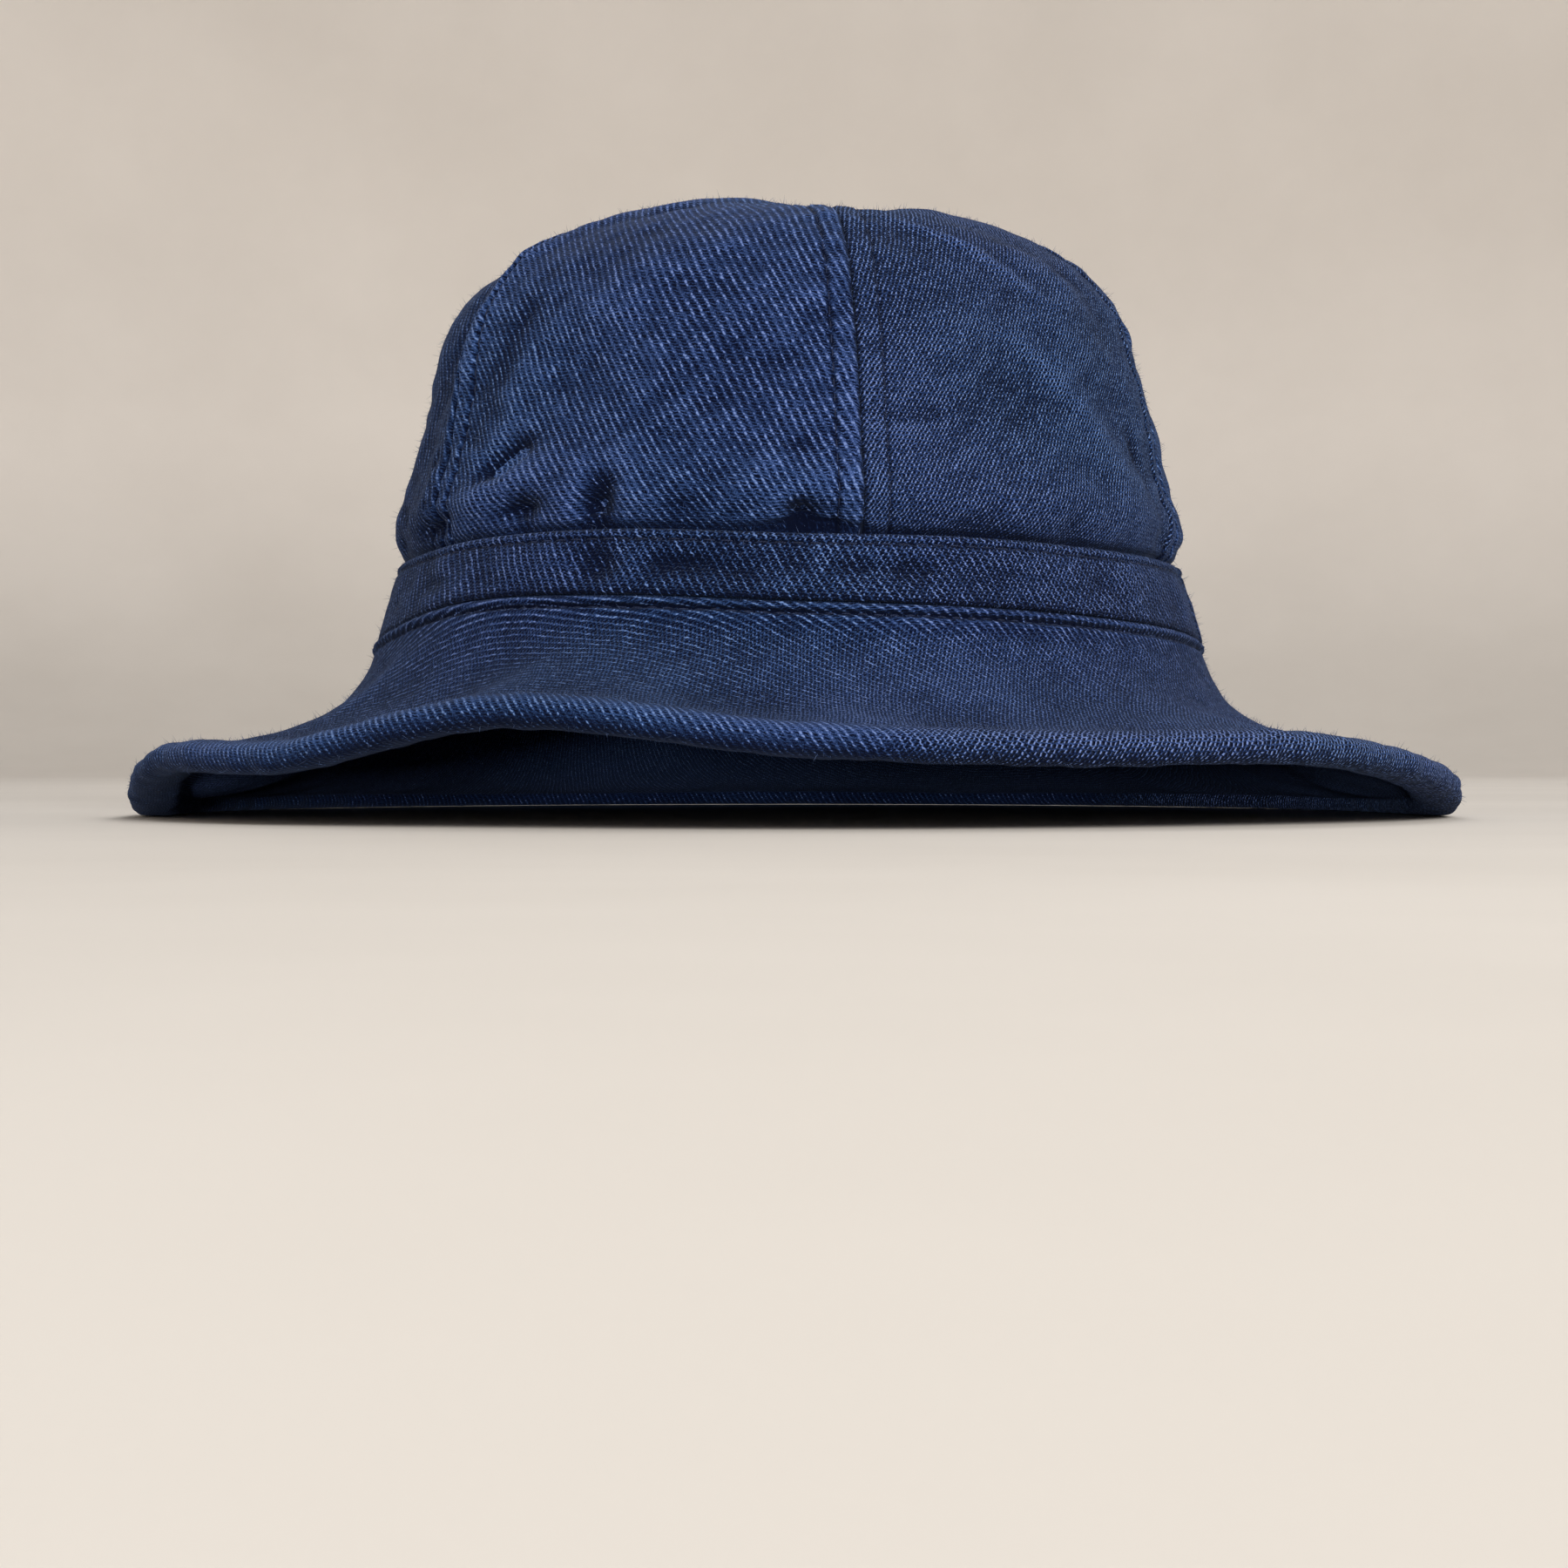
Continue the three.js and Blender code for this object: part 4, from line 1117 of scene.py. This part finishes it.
class Finish:
    """A node material under construction; its methods add nodes and return an output."""

    def __init__(self, name):
        self.material = bpy.data.materials.new(name)
        self.material.use_nodes = True
        self.tree = self.material.node_tree
        self.shader = self.tree.nodes["Principled BSDF"]

    def feed(self, socket, value):
        if isinstance(value, bpy.types.NodeSocket):
            self.tree.links.new(value, socket)
        else:
            socket.default_value = value

    def node(self, kind, inputs=(), **settings):
        """A node, with what to feed its inputs by number or name."""
        made = self.tree.nodes.new(f"ShaderNode{kind}")
        for key, value in settings.items():
            setattr(made, key, value)
        for key, value in dict(inputs).items():
            self.feed(made.inputs[key], value)
        return made

    def math(self, operation, *values, clamp=False):
        return self.node("Math", enumerate(values), operation=operation, use_clamp=clamp).outputs[0]

    def plus(self, first, second):
        return self.math("ADD", first, second)

    def times(self, first, *others):
        for other in others:
            first = self.math("MULTIPLY", first, other)
        return first

    def power(self, value, exponent):
        return self.math("POWER", value, exponent)

    def scaled(self, value, factor, shift, clamp=False):
        return self.math("MULTIPLY_ADD", value, factor, shift, clamp=clamp)

    def whole(self, value, shift):
        return self.math("FLOOR", self.plus(value, shift))

    def wave(self, phase, shift=0.0):
        """Between 0 and 1, highest where the shifted phase is whole."""
        angle = self.scaled(phase, 2 * np.pi, 2 * np.pi * shift)
        return self.scaled(self.math("COSINE", angle), 0.5, 0.5)

    def mixed(self, part, first, second, way="MIX"):
        inputs = {0: part, 6: first, 7: second}
        return self.node("Mix", inputs, data_type="RGBA", blend_type=way).outputs[2]

    def uv(self):
        return self.node("UVMap", uv_map="cloth").outputs["UV"]

    def place(self):
        return self.node("TexCoord").outputs["Object"]

    def attribute(self, name):
        return self.node("Attribute", attribute_name=name).outputs["Fac"]

    def turned(self, vector, degrees):
        inputs = {"Vector": vector, "Rotation": (0, 0, np.radians(degrees))}
        return self.node("Mapping", inputs).outputs[0]

    def parts(self, vector):
        return self.node("SeparateXYZ", {0: vector}).outputs

    def noise(self, vector, scale, detail=0.0, roughness=0.5):
        inputs = {"Vector": vector, "Scale": scale, "Detail": detail, "Roughness": roughness}
        return self.node("TexNoise", inputs).outputs["Fac"]

    def swing(self, vector, scale, amount, detail=0.0):
        """Noise that swings by about a quarter of the amount to either side of 0."""
        return self.scaled(self.noise(vector, scale, detail), amount, -0.5 * amount)

    def swings(self, vector, rows):
        return self.plus(*(self.swing(vector, *row) for row in rows))

    def white(self, first, second):
        """Chance for a pair of whole numbers."""
        pair = self.node("CombineXYZ", {0: first, 1: second}).outputs[0]
        return self.node("TexWhiteNoise", {"Vector": pair}, noise_dimensions="2D").outputs["Value"]

    def between(self, *values):
        """Smooth step of a value from low to high, which may be followed by its result at both."""
        return self.node("MapRange", enumerate(values), interpolation_type="SMOOTHSTEP").outputs[0]

    def ramp(self, value, stops):
        made = self.node("ValToRGB", {0: value})
        points = made.color_ramp.elements
        while len(points) < len(stops):
            points.new(1.0)
        for point, (position, colour) in zip(points, stops):
            point.position = position
            point.color = (*colour, 1.0)
        return made.outputs["Color"]

    def surface(self, colour, settings, height=None, depth=0.0):
        """Ends the material: its colour, its other values, and a bump."""
        for name, value in {"Base Color": colour, **settings}.items():
            self.feed(self.shader.inputs[name], value)
        if height is not None:
            bumped = self.node("Bump", {"Height": height, "Distance": depth})
            self.feed(self.shader.inputs["Normal"], bumped.outputs[0])
        return self.material


# twill: threads to a millimetre along and across the grain, and threads in one repeat
WARP_ENDS = 2.28
WEFT_PICKS = 1.37
TWILL_REPEAT = 4.0

# noises that bend the grain, thicken the threads and mottle the cloth: scale, amount, detail
GRAIN_SWAYS = ((0.03, 5.0), (0.9, 0.45))
THREAD_SLUBS = ((0.35, 0.6), (1.2, 0.5))
FIBRE_NOISE = (3.4, 1.1, 1.0)
FADING_NOISE = (26.0, 1.0, 2.0)
WORN_SCALE = 0.3
CAST_SCALE = 18.0
NOISE_EDGES = (0.3, 0.7)     # values of a noise between which it counts
WORN_RANGE = (0.6, 1.4)      # strength of the most and the least worn ribs

# weft picks between two ribs: slope and arch, in picks
PICK_SLOPE = 0.45
PICK_ARCH = 0.18

# how narrow yarns and gaps are: powers of their waves, or values of the wave at both edges
RIB_POWER = 8.0
GAP_POWER = 0.8
WEFT_POWER = 2.0
LINK_POWER = 1.5
GAP_EDGES = (0.25, 0.75)
WEFT_EDGES = (0.2, 0.8)
HOLLOW_EDGES = (0.0, 0.8)

# strength along a bead, and of beads, gaps, holes and links by chance: factor, least
BEADING = (0.85, 0.15)
BEAD_CHANCE = (2.1, 0.22)
GAP_CHANCE = (0.8, 0.5)
HOLE_CHANCE = (0.4, 0.8)
LINK_CHANCE = (0.75, 0.12)
RARITY = 2.0                 # power that makes strong beads and picks rare
WEFT_SHIFT = 37.0            # so that picks and gaps have their own chances

# tones of each, as parts of the indigo ramp, and heights for the bump
BASE_TONE = 0.44
RIB_TONE = 0.74
WEFT_TONE = 0.26
GAP_TONE = -0.5
VALLEY_TONE = -0.06
LINK_TONE = 0.8
HOLE_TONE = -0.78
NET_TONE = 0.02
FIBRE_TONE = 0.95
FADING_TONE = 0.34
WEAR_AND_SHADE_TONE = 0.26
RIB_HEIGHT = 0.7
HOLLOW_HEIGHT = -0.8
TWILL_BUMP = 0.0003
TWILL_SURFACE = {"Roughness": 0.92, "Specular IOR Level": 0.05, "Sheen Weight": 0.07,
                 "Sheen Roughness": 0.5, "Sheen Tint": (0.40, 0.56, 1.0, 1.0)}
INDIGO_STOPS = [
    (0.0, (0.0007, 0.0021, 0.0105)),
    (0.25, (0.0045, 0.0112, 0.0400)),
    (0.5, (0.0165, 0.0370, 0.1060)),
    (0.75, (0.0445, 0.0825, 0.2200)),
    (1.0, (0.1120, 0.1750, 0.3600)),
]
COOL_TINT = (0.95, 1.02, 1.0, 1.0)
WARM_TINT = (1.05, 0.98, 1.02, 1.0)


def twill(name, turn, ribs_show, gaps_show, net_shows, tone_shift):
    """Indigo twill on a uv in millimetres. Ribs are bright where (ends + picks) / repeat is whole,
    beaded at every pick. Between two ribs a dark gap lies below every weft pick. The net is the same
    cloth seen from its other side: a dark hole and a pale link by turns along every pick, staggered
    from pick to pick. Slow noise bends the grain, and chance per crossing varies every bead, gap and
    hole."""
    f = Finish(name)
    flat = f.turned(f.uv(), turn)
    across, along, _ = f.parts(flat)
    ends = f.times(f.plus(across, f.swings(flat, GRAIN_SWAYS)), WARP_ENDS)
    picks = f.times(f.plus(along, f.swings(flat, THREAD_SLUBS)), WEFT_PICKS)
    ribs = f.math("DIVIDE", f.plus(ends, picks), TWILL_REPEAT)
    crossing = f.scaled(ribs, -2.0, picks)

    rib_wave = f.wave(ribs)
    pick_wave = f.wave(picks)
    valley = f.math("SUBTRACT", 1.0, rib_wave)
    slope = f.scaled(f.math("FRACT", ribs), PICK_SLOPE, -PICK_SLOPE / 2)
    arched = f.plus(f.scaled(valley, PICK_ARCH, picks), slope)
    between = f.whole(ribs, 0.0)
    bead_chance = f.power(f.white(f.whole(ribs, 0.5), f.whole(picks, 0.0)), RARITY)
    gap_chance = f.white(between, f.whole(arched, 0.0))
    weft_chance = f.white(f.plus(between, WEFT_SHIFT), f.whole(arched, 0.5))
    hole_chance = f.white(f.whole(crossing, 0.0), f.whole(picks, 0.5))
    link_chance = f.white(f.whole(crossing, 0.5), f.whole(picks, 0.5))

    worn = f.between(f.noise(flat, WORN_SCALE), *NOISE_EDGES, *WORN_RANGE)
    beading = f.scaled(f.wave(picks, 0.5), *BEADING)
    bead = f.times(beading, f.scaled(bead_chance, *BEAD_CHANCE))
    rib = f.times(f.power(rib_wave, RIB_POWER), bead, worn)
    deep = f.power(f.wave(arched, 0.5), GAP_POWER)
    gap = f.times(f.between(valley, *GAP_EDGES), deep, f.scaled(gap_chance, *GAP_CHANCE))
    crest = f.power(f.wave(arched), WEFT_POWER)
    weft = f.times(f.between(valley, *WEFT_EDGES), crest, f.power(weft_chance, RARITY))
    hollow = f.between(f.times(f.wave(crossing, -0.5), pick_wave), *HOLLOW_EDGES)
    hole = f.times(hollow, f.scaled(hole_chance, *HOLE_CHANCE))
    linked = f.power(f.wave(crossing), LINK_POWER)
    link = f.times(linked, pick_wave, f.scaled(link_chance, *LINK_CHANCE))

    face = f.scaled(weft, WEFT_TONE, f.times(gap, GAP_TONE))
    face = f.times(f.scaled(valley, VALLEY_TONE, face), gaps_show)
    face = f.times(f.scaled(rib, RIB_TONE * ribs_show, face), f.attribute("ribs"))
    net = f.scaled(hole, HOLE_TONE, f.scaled(link, LINK_TONE, NET_TONE))
    yarns = f.scaled(f.times(net, f.attribute("net")), net_shows, face)
    tone = f.scaled(f.swing(flat, *FIBRE_NOISE), FIBRE_TONE, f.plus(yarns, BASE_TONE + tone_shift))
    tone = f.scaled(f.swing(f.place(), *FADING_NOISE), FADING_TONE, tone)
    # the wear attribute carries real wear together with painted shade and painted highlights
    tone = f.scaled(f.attribute("wear_and_shade"), WEAR_AND_SHADE_TONE, tone, clamp=True)
    cast = f.between(f.noise(f.place(), CAST_SCALE), *NOISE_EDGES)
    tint = f.mixed(cast, COOL_TINT, WARM_TINT)
    colour = f.mixed(1.0, f.ramp(tone, INDIGO_STOPS), tint, "MULTIPLY")
    ridge = f.times(rib_wave, f.attribute("ribs"), RIB_HEIGHT * ribs_show)
    pit = f.times(hollow, f.attribute("net"), HOLLOW_HEIGHT * net_shows)
    return f.surface(colour, TWILL_SURFACE, f.scaled(ridge, beading, pit), TWILL_BUMP)


# thread and loose fibres
THREAD_STOPS = [(0.2, (0.003, 0.006, 0.022)), (0.9, (0.018, 0.032, 0.09))]
THREAD_SURFACE = {"Roughness": 0.7, "Specular IOR Level": 0.3}
THREAD_NOISE = (900.0, 2.0)
TWIST = 14.0                 # radians to a millimetre
TWIST_TONE = 0.2
TWIST_BUMP = 0.00005
FIBRE_STOPS = [(0.0, (0.012, 0.022, 0.06)), (1.0, (0.10, 0.145, 0.28))]
FIBRE_SURFACE = {"Roughness": 0.8, "Specular IOR Level": 0.1}


def sewing_thread(name):
    """Dark indigo thread with a twist that runs around it."""
    f = Finish(name)
    across, along, _ = f.parts(f.uv())
    twist = f.math("SINE", f.times(f.plus(across, along), TWIST))
    tone = f.scaled(twist, TWIST_TONE, f.noise(f.place(), *THREAD_NOISE), clamp=True)
    return f.surface(f.ramp(tone, THREAD_STOPS), THREAD_SURFACE, twist, TWIST_BUMP)


def loose_fibre(name):
    """Fine fibres, each paler or darker than the next."""
    f = Finish(name)
    return f.surface(f.ramp(f.attribute("wear_and_shade"), FIBRE_STOPS), FIBRE_SURFACE)


# stage, in metres

FLOOR_STOPS = [(0.3, (0.63, 0.595, 0.55)), (0.7, (0.68, 0.645, 0.60))]
WALL_STOPS = [(0.3, (0.86, 0.81, 0.755)), (0.7, (0.915, 0.865, 0.81))]
GROUND_SURFACE = {"Roughness": 0.95}
GROUND_NOISE = (5.0, 4.0, 0.6)
WALL_STARTS = (0.0, 0.35)    # heights between which the floor's colour turns into the wall's
FLOOR_RADII = (0.02, 1.6)
FLOOR_BEND = 0.6             # radius of the turn from floor to wall
WALL_TOP = 2.6
FLOOR_ROWS = 14
FLOOR_COLUMNS = 96
FLOOR_DROP = 0.0002          # keeps the floor clear of the rim

# lights: name, place, aim, size, power, colour
LIGHTS = [
    ("key", (0.7, -1.5, 1.0), (0, 0, 0.07), 0.9, 30.0, (1.0, 0.98, 0.95)),
    ("side_fill", (-1.1, -1.1, 0.8), (0, 0, 0.05), 1.0, 0.4, (0.97, 0.98, 1.0)),
    ("low_fill", (-0.1, -1.3, 0.03), (0, 0, 0.02), 0.08, 9.0, (1.0, 0.98, 0.96)),
    ("back", (0.3, 1.2, 1.4), (0, 0, 0.05), 0.9, 7.0, (1.0, 1.0, 1.0)),
]
CAP_LIGHT = "low_fill"       # falls on nothing but the cap
CAP = bpy.data.collections.new("cap")
ROOM_COLOUR = (0.93, 0.95, 1.0, 1.0)
ROOM_STRENGTH = 0.35


def pale_ground(name):
    """Plain warm off-white with a faint mottle, a little darker on the floor than on the wall."""
    f = Finish(name)
    mottle = f.noise(f.place(), *GROUND_NOISE)
    _, _, height = f.parts(f.place())
    rise = f.between(height, *WALL_STARTS)
    colour = f.mixed(rise, f.ramp(mottle, FLOOR_STOPS), f.ramp(mottle, WALL_STOPS))
    return f.surface(colour, GROUND_SURFACE)


def studio_floor():
    """A round floor that turns up into a wall far away: a profile of a flat, an arc and a wall, spun
    around the axis."""
    flat = np.linspace(*FLOOR_RADII, FLOOR_ROWS)
    turn = np.radians(np.linspace(0, 90, FLOOR_ROWS)[1:])
    radius = np.concatenate([flat, flat[-1] + FLOOR_BEND * np.sin(turn), [flat[-1] + FLOOR_BEND]])
    height = np.concatenate([0 * flat, FLOOR_BEND * (1 - np.cos(turn)), [WALL_TOP]])
    azimuth = np.linspace(0, 360, FLOOR_COLUMNS, endpoint=False)
    points = polar(radius[:, None], azimuth, height[:, None] - FLOOR_DROP)
    row, column = grid_corners(len(radius), FLOOR_COLUMNS, wrap_columns=True)
    quads = (row * FLOOR_COLUMNS + column % FLOOR_COLUMNS)[:, ::-1]
    mesh = bpy.data.meshes.new("floor")
    mesh.from_pydata(points.reshape(-1, 3).tolist(), [], [*quads.tolist(), list(range(FLOOR_COLUMNS))])
    mesh.polygons.foreach_set("use_smooth", np.ones(len(mesh.polygons), bool))
    mesh.materials.append(pale_ground("pale_ground"))
    floor = placed("floor", mesh)


def studio_light():
    """Square soft lights that the camera doesn't see, and a pale room all around."""
    for name, place, aim, size, power, colour in LIGHTS:
        data = bpy.data.lights.new(name, "AREA")
        data.shape = "SQUARE"
        data.size = size
        data.energy = power
        data.color = colour
        light = placed(name, data)
        light.location = place
        light.rotation_euler = (Vector(aim) - Vector(place)).to_track_quat("-Z", "Y").to_euler()
        light.visible_camera = False
        if name == CAP_LIGHT:
            light.light_linking.receiver_collection = CAP
    world = bpy.data.worlds.new("room")
    world.use_nodes = True
    background = world.node_tree.nodes["Background"]
    background.inputs["Color"].default_value = ROOM_COLOUR
    background.inputs["Strength"].default_value = ROOM_STRENGTH
    bpy.context.scene.world = world


# the picture: distances in millimetres from the crown's axis, pixels of a square picture
PICTURE = 1800.0
FOCAL_PIXELS = 3264.0
SENSOR = 36.0
CAMERA_BACK = 640.0
CAMERA_HEIGHT = 12.0
CAMERA_NEAR = 0.01
AXIS_COLUMN = 905.0
HORIZON_ROW = 873.0


def photo_camera():
    """The camera stands in front of the cap, just above the floor, and looks level but for the few
    pixels between the horizon and the middle of the picture."""
    data = bpy.data.cameras.new("camera")
    data.sensor_width = SENSOR
    data.lens = FOCAL_PIXELS / PICTURE * SENSOR
    data.clip_start = CAMERA_NEAR
    camera = placed("camera", data)
    aside = (AXIS_COLUMN - PICTURE / 2) / FOCAL_PIXELS * CAMERA_BACK
    camera.location = (AXIS + np.array([-aside, -CAMERA_BACK, CAMERA_HEIGHT])) * MM
    pitch = np.arctan((PICTURE / 2 - HORIZON_ROW) / FOCAL_PIXELS)
    camera.rotation_euler = (np.pi / 2 - pitch, 0, 0)
    bpy.context.scene.camera = camera


# the cap

# grain of each piece: turn of the cloth in degrees, strength of ribs, gaps and net, lighter or darker
GRAINS = {
    "front_left": (0.0, 0.98, 1.1, 0.0, 0.0),
    "front_right": (2.0, 0.2, 0.15, 2.0, -0.15),
    "right": (-3.0, 0.7, 0.8, 0.2, -0.02),
    "back_right": (2.0, 0.9, 1.0, 0.1, 0.0),
    "back_left": (-2.0, 0.5, 0.4, 0.6, 0.0),
    # the left panel's darker tone is partly its cloth and partly painted shade on the side away from
    # the light
    "left": (4.0, 0.8, 0.9, 0.1, -0.10),
    # the band's darker tone is partly its cloth and partly painted shade under the crown's overhang
    "band": (1.0, 0.75, 1.25, 0.4, -0.14),
    # the brim's darker tone is partly its cloth and partly painted shade on its upward face
    "brim": (0.0, 1.1, 1.0, 1.2, -0.11),
}


def dress(piece, material, node=None):
    """Gives a piece its finish and its body, and hides the node that it stands for."""
    piece.data.materials.append(material)
    CAP.objects.link(piece)
    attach(piece, "root")
    if node:
        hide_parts(node)


def build_cap():
    ends = np.append(SEAMS[1:], SEAMS[0] + 360)
    panels = []
    for (name, start), end in zip(PANELS, ends):
        panels.append(panel_mesh(f"{name}_panel_cloth", start, end))
        dress(panels[-1], twill(f"twill_{name}", *GRAINS[name]), f"crown_panel_{name}")
    rings = {"band": band_mesh("band_cloth"), "brim": brim_mesh("brim_cloth")}
    for name, ring in rings.items():
        dress(ring, twill(f"twill_{name}", *GRAINS[name]), name)
    thread = sewing_thread("indigo_thread")
    stitches = {"crown": crown_stitch_rows(), "band": band_stitch_rows(), "brim": brim_stitch_rows()}
    for name, rows in stitches.items():
        dress(stitch_mesh(f"{name}_topstitch", rows), thread)
    fibre = loose_fibre("loose_fibre")
    for name, pieces in {"crown": panels, "band": [rings["band"]], "brim": [rings["brim"]]}.items():
        dress(fuzz_mesh(f"{name}_fuzz", pieces), fibre)


photo_camera()
studio_floor()
studio_light()
build_cap()
bpy.context.scene.view_settings.view_transform = "Standard"
